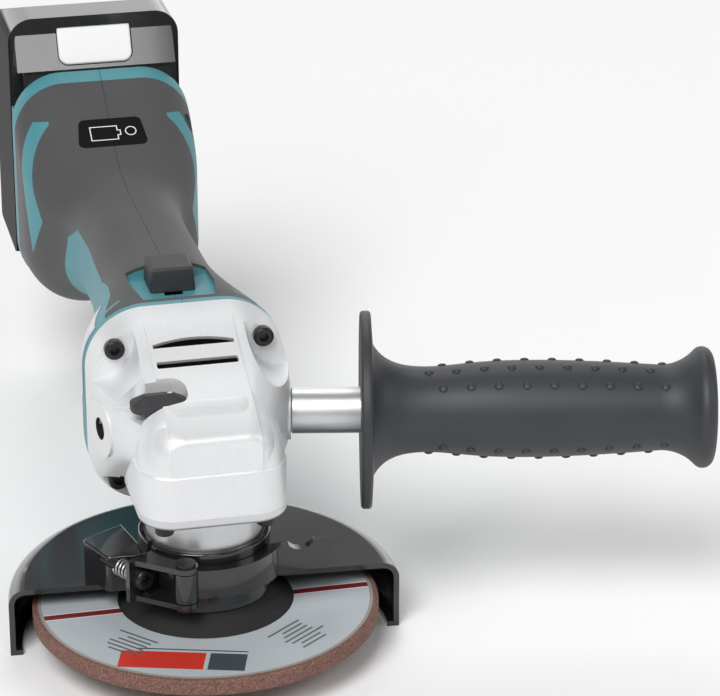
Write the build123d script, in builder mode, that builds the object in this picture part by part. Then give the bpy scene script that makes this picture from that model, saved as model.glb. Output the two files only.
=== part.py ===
import os
from math import acos, atan, cos, pi, radians, sin, sqrt, tan

from build123d import *

os.makedirs("parts", exist_ok=True)

# Shared frame, mm: Z is the spindle axis, z = 0 is the lower face of the lock nut,
# +Y runs back towards the battery and +X to the side handle.

# Wheel end
WHEEL_D = 125.0
WHEEL_T = 6.0
WHEEL_BORE = 22.23
HUB_RAISE = 6.0
HUB_R = 22.0
HUB_FOOT_R = 31.5
NUT_T = 5.0
NUT_R = 21.0
SPANNER_PCD = 30.0
SPANNER_HOLE_R = 2.5
FLANGE_T = 6.0
FLANGE_R = 20.0
SPINDLE_R = 7.0
RUN_FIT = 0.04
PART_GAP = 0.4
HUB_TOP = NUT_T + WHEEL_T
LABEL_Z = HUB_TOP - HUB_RAISE
WORK_Z = LABEL_Z - WHEEL_T
SHOULDER_Z = HUB_TOP + FLANGE_T

# Guard
NECK_R = 21.0
GUARD_FIT = 0.08
COLLAR_T = 2.6
GUARD_T = 2.0
GUARD_SIDE_GAP = 6.5
GUARD_LIFT = 6.2
GUARD_DROP = 26.0
GUARD_TURN = -3.7
COLLAR_R = NECK_R + GUARD_FIT
COLLAR_OUT = COLLAR_R + COLLAR_T
GUARD_R = WHEEL_D / 2 + GUARD_SIDE_GAP
GUARD_OUT = GUARD_R + GUARD_T
PLATE_Z = LABEL_Z + GUARD_LIFT
PLATE_TOP = PLATE_Z + GUARD_T
SKIRT_Z = PLATE_TOP - GUARD_DROP
COLLAR_TOP = PLATE_Z + 22.8
CLAMP_Z = PLATE_Z + 7.8
CLAMP_H = 11.0
CLAMP_TOP = CLAMP_Z + CLAMP_H
GUARD_XY = Plane.XY.rotated((0, 0, GUARD_TURN))
GUARD_XZ = Plane((0, 0, 0), x_dir=GUARD_XY.x_dir, z_dir=-GUARD_XY.y_dir)

# Head
AXIS_Z = 70.0
SPLIT_Z = 51.2
BOX_FLANGE_T = 3.8
BOX_HW = 26.5
BOX_FRONT = -30.0
BOX_REAR = 24.0
BOX_R = 13.0
BOX_H = 16.8
JOINT_Y = 34.0
SCREW_X = 27.0
SCREW_Z = 25.5
SCREW_R = 2.0
SCREW_SEAT_Y = BOX_REAR + 0.3
SCREW_HEAD_R = 3.7
SCREW_HEAD_H = 3.2
SCREW_GRIP = 12.0
BOX_SCREWS = [(18.0, -22.0), (-18.0, -22.0), (21.5, 17.0), (-21.5, 17.0)]
BOX_SCREW_R = 2.0
BOX_HEAD_H = 4.2
CHAMBER_R = 23.8
CHAMBER_H = 18.0
SLOPE = 25.0
BAR_VENT = (0, 6.5, 94.4)
ARCH_VENT = (0, 15.3, 98.4)
VENT_HW = 14.6
DUCT_HW = 15.4
CROWN = 0.8
CROWN_HW = 16.0
CROWN_END = 26.5
SOCKET_Y = 12.5
SOCKET_X = 34.6
SOCKET_R = 4.0
SOCKET_L = 15.0
HANDLE_CANT = 12.0

# Bevel gears: a straight tooth pair on one apex
PINION_TEETH = 11
GEAR_TEETH = 37
GEAR_PITCH_R = 22.0
FACE_W = 7.0
TOOTH_SLACK = 0.14
MODULE = 2 * GEAR_PITCH_R / GEAR_TEETH
PINION_CONE = atan(PINION_TEETH / GEAR_TEETH)
GEAR_CONE = pi / 2 - PINION_CONE
CONE_L = GEAR_PITCH_R / sin(GEAR_CONE)
SMALL_END = (CONE_L - FACE_W) / CONE_L
PINION_ADD = 0.9 * MODULE
GEAR_ADD = 0.6 * MODULE
PINION_DED = GEAR_ADD + 0.25 * MODULE
GEAR_DED = PINION_ADD + 0.25 * MODULE

# Bearings and shafts
SPINDLE_BRG_BORE = 6.0
SPINDLE_BRG_OUT = 16.0
SPINDLE_BRG_W = 10.0
SPINDLE_BRG_Z = 25.0
TOP_BRG_BORE = 4.0
TOP_BRG_OUT = 6.0
TOP_BRG_Z = 75.0
TOP_BRG_L = 9.0
ROTOR_R = 4.0
PINION_BORE = 2.6
FRONT_BRG_Y = 25.0
FRONT_BRG_W = 7.0
FRONT_BRG_OUT = 11.0
REAR_BRG_Y = 68.0
REAR_BRG_W = 6.0
REAR_BRG_OUT = 9.5

# Motor
FAN_R = 28.5
FAN_Y = 36.0
FAN_W = 6.5
STATOR_R = 23.5
STATOR_BORE = 13.4
STATOR_Y = 48.5
STATOR_L = 15.0
ROTOR_CORE_R = 12.8
COIL_OVER = 2.4
COIL_W = 12.0

# Shaft lock
LOCK_X = -10.8
LOCK_Y = -5.3
LOCK_PAD_X = -16.5
LOCK_PAD_Y = -6.3
LOCK_PAD_L = 19.8
LOCK_PAD_W = 12.2
LOCK_PIN_R = 2.5
LOCK_TRAVEL = 3.0
LOCK_Z = 86.0

# Body shell: y, half width, bottom, top, corner radius of each section
SHELL = [
    (34.0, 36.0, 32.6, 106.4, 22.0),
    (46.0, 35.8, 33.0, 106.6, 25.0),
    (58.0, 31.2, 37.5, 106.8, 24.0),
    (72.0, 24.6, 46.0, 106.8, 19.0),
    (88.0, 21.6, 54.0, 106.4, 17.0),
    (110.0, 21.0, 58.5, 105.8, 16.5),
    (140.0, 21.0, 60.0, 105.0, 16.5),
    (160.0, 22.0, 58.5, 105.2, 17.0),
    (174.0, 26.5, 53.0, 107.4, 18.5),
    (188.0, 33.0, 46.0, 113.5, 21.0),
    (200.0, 35.6, 43.5, 121.0, 22.0),
    (211.0, 36.0, 43.0, 128.0, 21.0),
    (222.0, 36.0, 43.0, 132.6, 20.0),
]
REAR_Y = 222.0
SKIN = 1.3
WALL = 3.3
REAR_WALL = 4.0
RECESS_Z = 102.4
RECESS_FLOOR = 3.4

# Slide switch
KNOB_HW = 8.4
KNOB_Y0 = 54.0
KNOB_Y1 = 70.0
KNOB_TOP = 111.6
SWITCH_TRAVEL = 6.0
LINK_HW = 4.0
LINK_T = 2.4
LINK_TOP = RECESS_Z - RECESS_FLOOR - 0.5
LINK_END_Y = 99.6

# Clamshell screws: y and z
CASE_SCREWS = [(100.0, 63.0), (160.0, 67.0), (207.0, 56.0), (207.0, 112.0)]
CASE_SCREW_R = 1.8
CASE_HEAD_R = 3.4
CASE_HEAD_X = 11.0

# Battery: the case has a cut-back toe below and a falling tail above
BATT_HW = 35.0
BATT_Z0 = 42.0
BATT_Z1 = 152.3
BATT_Y1 = 285.0
BATT_BASE_Y = 233.4
BATT_SPLIT_Y = 247.0
BATT_TOE = (260.0, 52.0)
BATT_TAIL = (250.0, 141.0)
BATT_CORNER = 10.0
BATT_WALL = 2.0
BATT_FRONT_ROOM = 5.0
BATT_SCREWS = [(28.0, BATT_Z1 - 4.9), (-28.0, BATT_Z1 - 4.9)]
BATT_SCREW_R = 1.2
RAIL_OUT = 34.6
RAIL_IN = 30.6
LIP_IN = 25.8
LIP_Y = 229.2
RAIL_Y1 = 233.0
RAIL_Z0 = 60.0
RAIL_Z1 = 116.0
CELL_R = 9.1
CELL_L = 65.0
STEP_Y = 226.5
STEP_Z = 132.0
STEP_HW = 32.4
STEP_LEAN = 9.5 / 18.6
STEP_TOP_Y = STEP_Y + (BATT_Z1 - STEP_Z) * STEP_LEAN
STEP_CORNER = 11.0
BLADE_X = 9.0
BLADE_Z0 = 66.0
BLADE_Z1 = 80.0
LATCH_W = 30.0
LATCH_H = 19.0
LATCH_TRAVEL = 2.5

# Side handle
ROD_R = 8.3
ROD_L = 25.0
HANDLE_L = 152.4
HANDLE_FLANGE_R = 35.6
STUD_END = 128.0


def inv(angle):
    return tan(angle) - angle


def tooth(teeth, cone, add_h, ded_h, scale):
    virtual = MODULE * teeth / 2 / cos(cone)
    base = virtual * cos(radians(20))
    half = pi * cos(cone) / (2 * teeth) - TOOTH_SLACK / virtual + inv(radians(20))
    low = virtual - ded_h - 0.35
    radii = [low, max(low + 0.1, base + 0.02)]
    steps = 4
    for i in range(1, steps + 1):
        radii.append(radii[1] + (virtual + add_h - radii[1]) * i / steps)
    side = []
    for r in radii:
        a = half - inv(acos(min(1.0, base / r)))
        side.append((scale * r * sin(a), scale * (r * cos(a) - virtual)))
    return side + [(-x, y) for x, y in reversed(side)]


# Grinding wheel
with BuildPart() as grinding_wheel:
    with BuildSketch(Plane.XZ):
        with BuildLine():
            Polyline(
                (WHEEL_BORE / 2, NUT_T),
                (WHEEL_BORE / 2, HUB_TOP),
                (HUB_R, HUB_TOP),
                (HUB_FOOT_R, LABEL_Z),
                (WHEEL_D / 2 - 0.5, LABEL_Z),
                (WHEEL_D / 2, LABEL_Z - 0.5),
                (WHEEL_D / 2, WORK_Z + 0.8),
                (WHEEL_D / 2 - 0.8, WORK_Z),
                (HUB_FOOT_R - 1.5, WORK_Z),
                (HUB_R - 0.6, NUT_T),
                close=True,
            )
        make_face()
    revolve(axis=Axis.Z)
grinding_wheel.part.label = "grinding_wheel"
export_step(grinding_wheel.part, "parts/grinding_wheel.step")

# Inner flange, with a spigot that centres the wheel
with BuildPart() as inner_flange:
    with BuildSketch(Plane.XZ):
        with BuildLine():
            Polyline(
                (SPINDLE_R, HUB_TOP - 2.5),
                (WHEEL_BORE / 2 - 0.1, HUB_TOP - 2.5),
                (WHEEL_BORE / 2 - 0.1, HUB_TOP),
                (FLANGE_R, HUB_TOP),
                (FLANGE_R, HUB_TOP + 2.6),
                (FLANGE_R - 7, SHOULDER_Z),
                (SPINDLE_R, SHOULDER_Z),
                close=True,
            )
        make_face()
    revolve(axis=Axis.Z)
inner_flange.part.label = "inner_flange"
export_step(inner_flange.part, "parts/inner_flange.step")

# Lock nut, four spanner holes
with BuildPart() as lock_nut:
    with BuildSketch(Plane.XZ):
        with BuildLine():
            Polyline(
                (SPINDLE_R, 0),
                (NUT_R - 1.2, 0),
                (NUT_R, 1.2),
                (NUT_R, NUT_T),
                (WHEEL_BORE / 2 - 0.2, NUT_T),
                (WHEEL_BORE / 2 - 0.2, NUT_T + 2.4),
                (SPINDLE_R, NUT_T + 2.4),
                close=True,
            )
        make_face()
    revolve(axis=Axis.Z)
    with BuildSketch(Plane.XY):
        with PolarLocations(SPANNER_PCD / 2, 4):
            Circle(SPANNER_HOLE_R)
    extrude(amount=NUT_T, mode=Mode.SUBTRACT)
lock_nut.part.label = "lock_nut"
export_step(lock_nut.part, "parts/lock_nut.step")

# Spindle: threaded end, shoulder, bearing seat, gear seat, top journal
GEAR_TOP_Z = AXIS_Z - SMALL_END * (CONE_L * cos(GEAR_CONE) + GEAR_DED * sin(GEAR_CONE))
with BuildPart() as spindle:
    with BuildSketch(Plane.XZ):
        with BuildLine():
            Polyline(
                (0, 1.0),
                (SPINDLE_R - 1.0, 1.0),
                (SPINDLE_R, 2.0),
                (SPINDLE_R, SHOULDER_Z),
                (SPINDLE_R + 2.0, SHOULDER_Z),
                (SPINDLE_R + 2.0, SPINDLE_BRG_Z),
                (SPINDLE_BRG_BORE - RUN_FIT, SPINDLE_BRG_Z),
                (SPINDLE_BRG_BORE - RUN_FIT, GEAR_TOP_Z + 2.0),
                (TOP_BRG_BORE - RUN_FIT, GEAR_TOP_Z + 3.5),
                (TOP_BRG_BORE - RUN_FIT, TOP_BRG_Z + TOP_BRG_L),
                (0, TOP_BRG_Z + TOP_BRG_L),
                close=True,
            )
        make_face()
    revolve(axis=Axis.Z)
spindle.part.label = "spindle"
export_step(spindle.part, "parts/spindle.step")

# Bevel gear, teeth upwards, a gap centred on the pinion side
GEAR_DIR = Vector(sin(GEAR_CONE), 0, -cos(GEAR_CONE))
APEX = Vector(0, 0, AXIS_Z)
GEAR_BIG = Plane(APEX + GEAR_DIR * CONE_L, x_dir=(0, 1, 0), z_dir=GEAR_DIR)
GEAR_SMALL = Plane(APEX + GEAR_DIR * CONE_L * SMALL_END, x_dir=(0, 1, 0), z_dir=GEAR_DIR)
with BuildPart() as gear_tooth:
    with BuildSketch(GEAR_BIG):
        Polygon(*tooth(GEAR_TEETH, GEAR_CONE, GEAR_ADD, GEAR_DED, 1.0), align=None)
    with BuildSketch(GEAR_SMALL):
        Polygon(*tooth(GEAR_TEETH, GEAR_CONE, GEAR_ADD, GEAR_DED, SMALL_END), align=None)
    loft(ruled=True)
GEAR_ROOT_R = GEAR_PITCH_R - GEAR_DED * cos(GEAR_CONE)
GEAR_ROOT_Z = AXIS_Z - CONE_L * cos(GEAR_CONE) - GEAR_DED * sin(GEAR_CONE)
with BuildPart() as bevel_gear:
    with BuildSketch(Plane.XZ):
        with BuildLine():
            Polyline(
                (SPINDLE_BRG_BORE - RUN_FIT, SPLIT_Z - 2.0),
                (10.0, SPLIT_Z - 2.0),
                (10.0, SPLIT_Z + 5.0),
                (GEAR_ROOT_R - 0.6, GEAR_ROOT_Z - 2.2),
                (GEAR_ROOT_R, GEAR_ROOT_Z),
                (SMALL_END * GEAR_ROOT_R, GEAR_TOP_Z),
                (SPINDLE_BRG_BORE - RUN_FIT, GEAR_TOP_Z),
                close=True,
            )
        make_face()
    revolve(axis=Axis.Z)
    with PolarLocations(0, GEAR_TEETH, start_angle=90 + 180 / GEAR_TEETH):
        add(gear_tooth.part)
    with BuildSketch(Plane.XY.offset(GEAR_TOP_Z)):
        with PolarLocations(sqrt(LOCK_X**2 + LOCK_Y**2), 4, start_angle=30):
            Circle(LOCK_PIN_R + 0.3)
    extrude(amount=-3.0, mode=Mode.SUBTRACT)
bevel_gear.part.label = "bevel_gear"
export_step(bevel_gear.part, "parts/bevel_gear.step")

# Pinion on the rotor shaft, one tooth pointing down into the gear
PINION_DIR = Vector(0, cos(PINION_CONE), -sin(PINION_CONE))
PINION_BIG = Plane(APEX + PINION_DIR * CONE_L, x_dir=(1, 0, 0), z_dir=PINION_DIR)
PINION_SMALL = Plane(APEX + PINION_DIR * CONE_L * SMALL_END, x_dir=(1, 0, 0), z_dir=PINION_DIR)
ROTOR_AXIS = Axis((0, 0, AXIS_Z), (0, 1, 0))
with BuildPart() as pinion_tooth:
    with BuildSketch(PINION_BIG):
        Polygon(*tooth(PINION_TEETH, PINION_CONE, PINION_ADD, PINION_DED, 1.0), align=None)
    with BuildSketch(PINION_SMALL):
        Polygon(*tooth(PINION_TEETH, PINION_CONE, PINION_ADD, PINION_DED, SMALL_END), align=None)
    loft(ruled=True)
PINION_ROOT_R = CONE_L * sin(PINION_CONE) - PINION_DED * cos(PINION_CONE)
PINION_ROOT_Y = CONE_L * cos(PINION_CONE) + PINION_DED * sin(PINION_CONE)
with BuildPart() as pinion:
    with BuildSketch(Plane.YZ):
        with BuildLine():
            Polyline(
                (SMALL_END * PINION_ROOT_Y, AXIS_Z + PINION_BORE),
                (SMALL_END * PINION_ROOT_Y, AXIS_Z + SMALL_END * PINION_ROOT_R),
                (PINION_ROOT_Y, AXIS_Z + PINION_ROOT_R),
                (FRONT_BRG_Y - PART_GAP, AXIS_Z + PINION_ROOT_R),
                (FRONT_BRG_Y - PART_GAP, AXIS_Z + PINION_BORE),
                close=True,
            )
        make_face()
    revolve(axis=ROTOR_AXIS)
    for i in range(PINION_TEETH):
        add(pinion_tooth.part.rotate(ROTOR_AXIS, 360 * i / PINION_TEETH))
pinion.part.label = "pinion"
export_step(pinion.part, "parts/pinion.step")

# Bearing box: neck, bearing seat and the flange that closes the gear chamber
with BuildPart() as bearing_box:
    with BuildSketch(Plane.XY.offset(SPLIT_Z - BOX_FLANGE_T)):
        with Locations((0, (BOX_FRONT + BOX_REAR) / 2)):
            RectangleRounded(2 * BOX_HW, BOX_REAR - BOX_FRONT, BOX_R)
    extrude(amount=BOX_FLANGE_T)
    fillet(bearing_box.faces().sort_by(Axis.Z)[0].edges(), 1.6)
    with BuildSketch(Plane.XY.offset(SHOULDER_Z + 1.0)):
        Circle(NECK_R)
    extrude(amount=SPLIT_Z - SHOULDER_Z - 1.0)
    chamfer(bearing_box.faces().sort_by(Axis.Z)[0].edges(), 0.8)
    with BuildSketch(Plane.XY.offset(SPLIT_Z)):
        Circle(CHAMBER_R - 0.05)
    extrude(amount=2.5)
    with BuildSketch(Plane.XY.offset(SHOULDER_Z)):
        Circle(SPINDLE_R + 3.2)
    extrude(amount=SPINDLE_BRG_Z - SHOULDER_Z, mode=Mode.SUBTRACT)
    with BuildSketch(Plane.XY.offset(SPINDLE_BRG_Z)):
        Circle(SPINDLE_BRG_OUT)
    extrude(amount=SPINDLE_BRG_W, mode=Mode.SUBTRACT)
    with BuildSketch(Plane.XY.offset(SPINDLE_BRG_Z + SPINDLE_BRG_W)):
        Circle(SPINDLE_BRG_OUT + 1.0)
    extrude(amount=SPLIT_Z + 3.0 - SPINDLE_BRG_Z - SPINDLE_BRG_W, mode=Mode.SUBTRACT)
    with BuildSketch(Plane.XY.offset(SPLIT_Z)):
        with Locations(*BOX_SCREWS):
            Circle(BOX_SCREW_R + 0.05)
    extrude(amount=-BOX_FLANGE_T - 1.0, mode=Mode.SUBTRACT)
bearing_box.part.label = "bearing_box"
export_step(bearing_box.part, "parts/bearing_box.step")

# Spindle ball bearing
with BuildPart() as spindle_bearing:
    with BuildSketch(Plane.XY.offset(SPINDLE_BRG_Z)):
        Circle(SPINDLE_BRG_OUT)
        Circle(SPINDLE_BRG_BORE, mode=Mode.SUBTRACT)
    extrude(amount=SPINDLE_BRG_W)
    chamfer(spindle_bearing.edges().filter_by(GeomType.CIRCLE), 0.5)
spindle_bearing.part.label = "spindle_bearing"
export_step(spindle_bearing.part, "parts/spindle_bearing.step")

# Screwed ring that keeps the bearing in the box
with BuildPart() as bearing_retainer:
    with BuildSketch(Plane.XY.offset(SPINDLE_BRG_Z + SPINDLE_BRG_W)):
        Circle(SPINDLE_BRG_OUT + 1.0)
        Circle(SPINDLE_BRG_BORE + 6.0, mode=Mode.SUBTRACT)
    extrude(amount=4.0)
    with BuildSketch(Plane.XY.offset(SPINDLE_BRG_Z + SPINDLE_BRG_W + 4.0)):
        with PolarLocations(SPINDLE_BRG_OUT - 1.5, 2):
            Circle(1.2)
    extrude(amount=-2.0, mode=Mode.SUBTRACT)
bearing_retainer.part.label = "bearing_retainer"
export_step(bearing_retainer.part, "parts/bearing_retainer.step")

# Four pan-head screws through the bearing box flange
with BuildPart() as bearing_box_screws:
    with BuildSketch(Plane.XY.offset(SPLIT_Z + 10.0)):
        with Locations(*BOX_SCREWS):
            Circle(BOX_SCREW_R)
    extrude(amount=-BOX_FLANGE_T - 10.5)
    with BuildSketch(Plane.XY.offset(SPLIT_Z - BOX_FLANGE_T)):
        with Locations(*BOX_SCREWS):
            Circle(SCREW_HEAD_R - 0.3)
    extrude(amount=-BOX_HEAD_H)
    fillet(bearing_box_screws.faces().sort_by(Axis.Z)[0:4].edges(), 1.2)
    with BuildSketch(Plane.XY.offset(SPLIT_Z - BOX_FLANGE_T - BOX_HEAD_H)):
        with Locations(*BOX_SCREWS):
            RectangleRounded(3.4, 0.9, 0.2)
            RectangleRounded(0.9, 3.4, 0.2)
    extrude(amount=1.6, mode=Mode.SUBTRACT)
bearing_box_screws.part.label = "bearing_box_screws"
export_step(bearing_box_screws.part, "parts/bearing_box_screws.step")

# Gear housing: a bell lofted from the nose back to the motor joint, over a square lower box
BELL = [
    (-28.6, 17.0, 62.0, 80.0, 7.5),
    (-20.0, 23.0, 60.5, 84.0, 10.0),
    (-8.0, 27.0, 59.0, 88.5, 11.5),
    (4.0, 32.0, 54.0, 93.0, 14.5),
    (13.0, 34.4, 46.0, 97.0, 17.0),
    (20.0, 35.4, 39.5, 100.3, 19.0),
    (27.0, 36.0, 34.0, 103.3, 21.0),
    (34.0, 36.2, 32.3, 106.4, 22.0),
]
# Shoulder sections from the lower box up to the nose: z, half width, front, corner radius
SHOULDER = [
    (66.5, BOX_HW - 0.6, BOX_FRONT + 0.6, BOX_R - 0.6),
    (75.0, 25.3, -27.3, 12.0),
    (83.0, 22.0, -22.0, 11.0),
    (88.5, 17.0, -13.0, 9.0),
]
SHOULDER_REAR = 10.0
SLOPE_OUT = Vector(0, -sin(radians(SLOPE)), cos(radians(SLOPE)))
HANDLE_DIR = Vector(cos(radians(HANDLE_CANT)), -sin(radians(HANDLE_CANT)), 0)
SOCKET_DIR = Vector(-cos(radians(HANDLE_CANT)), -sin(radians(HANDLE_CANT)), 0)
HANDLE_AT = Vector(SOCKET_X, SOCKET_Y, AXIS_Z)
SOCKET_AT = Vector(-SOCKET_X, SOCKET_Y, AXIS_Z)
CORNERS = [(SCREW_X, AXIS_Z + SCREW_Z), (-SCREW_X, AXIS_Z + SCREW_Z)]
CORNERS = CORNERS + [(SCREW_X, AXIS_Z - SCREW_Z), (-SCREW_X, AXIS_Z - SCREW_Z)]
with BuildPart() as air_chamber:
    with BuildSketch(Plane.XZ.offset(-JOINT_Y)):
        with Locations((0, AXIS_Z)):
            RectangleRounded(64.0, 62.0, 17.5)
        with Locations((0, AXIS_Z)):
            Circle(FRONT_BRG_OUT + 3.5, mode=Mode.SUBTRACT)
        with Locations(*CORNERS):
            Circle(5.5, mode=Mode.SUBTRACT)
    extrude(amount=5.5)
with BuildPart() as lower_box:
    with BuildSketch(Plane.XY.offset(SPLIT_Z)):
        with Locations((0, (BOX_FRONT + BOX_REAR) / 2)):
            RectangleRounded(2 * BOX_HW, BOX_REAR - BOX_FRONT, BOX_R)
    extrude(amount=BOX_H)
    fillet(lower_box.faces().sort_by(Axis.Z)[-1].edges(), 1.5)
with BuildPart() as crown:
    for y, half_w, low, high, corner in BELL:
        with BuildSketch(Plane.XZ.offset(-y + CROWN)):
            with Locations((0, (low + high + CROWN) / 2)):
                RectangleRounded(2 * half_w, high - low + CROWN, corner)
    loft()
    fillet(crown.faces().sort_by(Axis.Y)[0].edges(), 4.0)
    with Locations((0, CROWN_END - 40, AXIS_Z + 25)):
        Box(2 * CROWN_HW, 80, 60, mode=Mode.INTERSECT)
with BuildPart() as shoulder:
    for z, half_w, front, corner in SHOULDER:
        with BuildSketch(Plane.XY.offset(z)):
            with Locations((0, (front + SHOULDER_REAR) / 2)):
                RectangleRounded(2 * half_w, SHOULDER_REAR - front, corner)
    loft()
with BuildPart() as air_duct:
    with BuildSketch(Plane.YZ):
        Polygon((7, 88.5), (30, 88.5), (30, 100.4), (7, 91.3), align=None)
    extrude(amount=DUCT_HW, both=True)
with BuildPart() as gear_housing:
    for y, half_w, low, high, corner in BELL:
        with BuildSketch(Plane.XZ.offset(-y)):
            with Locations((0, (low + high) / 2)):
                RectangleRounded(2 * half_w, high - low, corner)
    loft()
    fillet(gear_housing.faces().sort_by(Axis.Y)[0].edges(), 4.0)
    with BuildSketch(Plane.XY):
        with Locations((0, BOX_REAR / 2 - 20)):
            Rectangle(2 * BOX_HW + 3.0, BOX_REAR + 40.6)
    extrude(amount=SPLIT_Z, mode=Mode.SUBTRACT)
    add(crown.part)
    add(shoulder.part)
    add(lower_box.part)
    for at, way in ((HANDLE_AT, HANDLE_DIR), (SOCKET_AT, SOCKET_DIR)):
        with BuildSketch(Plane(at, z_dir=way)):
            Circle(10.5)
        extrude(amount=-12.0)
    with BuildSketch(Plane.XY.offset(SPLIT_Z)):
        Circle(CHAMBER_R)
    extrude(amount=CHAMBER_H, mode=Mode.SUBTRACT)
    with BuildSketch(Plane.XY.offset(SPLIT_Z + CHAMBER_H)):
        Circle(CHAMBER_R)
    with BuildSketch(Plane.XY.offset(TOP_BRG_Z)):
        Circle(CHAMBER_R - 7.0)
    loft(mode=Mode.SUBTRACT)
    with BuildSketch(Plane.XY.offset(TOP_BRG_Z)):
        Circle(TOP_BRG_OUT)
    extrude(amount=TOP_BRG_L + 0.5, mode=Mode.SUBTRACT)
    with BuildSketch(Plane.XZ.offset(-FRONT_BRG_Y)):
        with Locations((0, AXIS_Z)):
            Circle(FRONT_BRG_OUT - 1.5)
    extrude(amount=20.0, mode=Mode.SUBTRACT)
    with BuildSketch(Plane.XZ.offset(-FRONT_BRG_Y)):
        with Locations((0, AXIS_Z)):
            Circle(FRONT_BRG_OUT)
    extrude(amount=FRONT_BRG_Y - JOINT_Y, mode=Mode.SUBTRACT)
    add(air_chamber.part, mode=Mode.SUBTRACT)
    add(air_duct.part, mode=Mode.SUBTRACT)
    with BuildSketch(Plane(BAR_VENT, x_dir=(1, 0, 0), z_dir=SLOPE_OUT).offset(3)):
        RectangleRounded(2 * VENT_HW, 3.2, 0.8)
    extrude(amount=-8.5, mode=Mode.SUBTRACT)
    with BuildSketch(Plane(ARCH_VENT, x_dir=(1, 0, 0), z_dir=SLOPE_OUT).offset(3)):
        with BuildLine():
            Polyline((-VENT_HW, 0), (-VENT_HW, -1.6), (VENT_HW, -1.6), (VENT_HW, 0))
            ThreePointArc((VENT_HW, 0), (0, 2.4), (-VENT_HW, 0))
        make_face()
    extrude(amount=-8.5, mode=Mode.SUBTRACT)
    with BuildSketch(Plane.XZ.offset(-SCREW_SEAT_Y)):
        for side in (-1, 1):
            with BuildLine():
                ThreePointArc(
                    (side * 20.0, AXIS_Z + 31.5),
                    (side * 35.0, AXIS_Z + 28.0),
                    (side * 40.0, AXIS_Z + 15.0),
                )
                ThreePointArc(
                    (side * 40.0, AXIS_Z + 15.0),
                    (side * 24.0, AXIS_Z + 18.5),
                    (side * 20.0, AXIS_Z + 31.5),
                )
            make_face()
    extrude(amount=30.0, mode=Mode.SUBTRACT)
    with BuildSketch(Plane.XZ.offset(-SCREW_SEAT_Y)):
        with Locations(*CORNERS[2:]):
            Circle(5.6)
    extrude(amount=30.0, mode=Mode.SUBTRACT)
    with BuildSketch(Plane.XZ.offset(-JOINT_Y)):
        with Locations(*CORNERS):
            Circle(SCREW_R + 0.2)
    extrude(amount=JOINT_Y - SCREW_SEAT_Y + 1.0, mode=Mode.SUBTRACT)
    for at, way in ((HANDLE_AT, HANDLE_DIR), (SOCKET_AT, SOCKET_DIR)):
        with BuildSketch(Plane(at, z_dir=way)):
            Circle(SOCKET_R)
        extrude(amount=-SOCKET_L, mode=Mode.SUBTRACT)
        with BuildSketch(Plane(at, z_dir=way)):
            Circle(13.0)
        extrude(amount=8.0, mode=Mode.SUBTRACT)
    with BuildSketch(Plane.XY.offset(LOCK_Z - 4.6)):
        with Locations((LOCK_PAD_X, LOCK_PAD_Y)):
            RectangleRounded(LOCK_PAD_L + 2 * PART_GAP, LOCK_PAD_W + 2 * PART_GAP, 5.6)
        with Locations((LOCK_PAD_X - 13.5, LOCK_PAD_Y + 2.0)):
            RectangleRounded(20.0, 17.0, 4.0)
    extrude(amount=20.0, mode=Mode.SUBTRACT)
    with BuildSketch(Plane.XY.offset(LOCK_Z - 9.5)):
        with Locations((LOCK_X, LOCK_Y)):
            Circle(4.2)
    extrude(amount=8.0, mode=Mode.SUBTRACT)
    with BuildSketch(Plane.XY.offset(TOP_BRG_Z - 2.0)):
        with Locations((LOCK_X, LOCK_Y)):
            Circle(LOCK_PIN_R + RUN_FIT)
    extrude(amount=8.0, mode=Mode.SUBTRACT)
    with BuildSketch(Plane.XY.offset(SPLIT_Z)):
        with Locations(*BOX_SCREWS):
            Circle(BOX_SCREW_R + 0.05)
    extrude(amount=10.5, mode=Mode.SUBTRACT)
gear_housing.part.label = "gear_housing"
export_step(gear_housing.part, "parts/gear_housing.step")

# Needle bearing at the top of the spindle
with BuildPart() as spindle_top_bearing:
    with BuildSketch(Plane.XY.offset(TOP_BRG_Z)):
        Circle(TOP_BRG_OUT)
        Circle(TOP_BRG_BORE, mode=Mode.SUBTRACT)
    extrude(amount=TOP_BRG_L)
spindle_top_bearing.part.label = "spindle_top_bearing"
export_step(spindle_top_bearing.part, "parts/spindle_top_bearing.step")

# Four long screws that hold the gear housing to the body
with BuildPart() as gear_housing_screws:
    with BuildSketch(Plane.XZ.offset(-SCREW_SEAT_Y)):
        with Locations(*CORNERS):
            Circle(SCREW_HEAD_R)
    extrude(amount=SCREW_HEAD_H)
    fillet(gear_housing_screws.faces().sort_by(Axis.Y)[0:4].edges(), 1.0)
    with BuildSketch(Plane.XZ.offset(-SCREW_SEAT_Y)):
        with Locations(*CORNERS):
            Circle(SCREW_R)
    extrude(amount=SCREW_SEAT_Y - JOINT_Y - SCREW_GRIP)
    with BuildSketch(Plane.XZ.offset(-SCREW_SEAT_Y + SCREW_HEAD_H)):
        with Locations(*CORNERS):
            RegularPolygon(1.9, 6)
    extrude(amount=-2.0, mode=Mode.SUBTRACT)
gear_housing_screws.part.label = "gear_housing_screws"
export_step(gear_housing_screws.part, "parts/gear_housing_screws.step")

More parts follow.
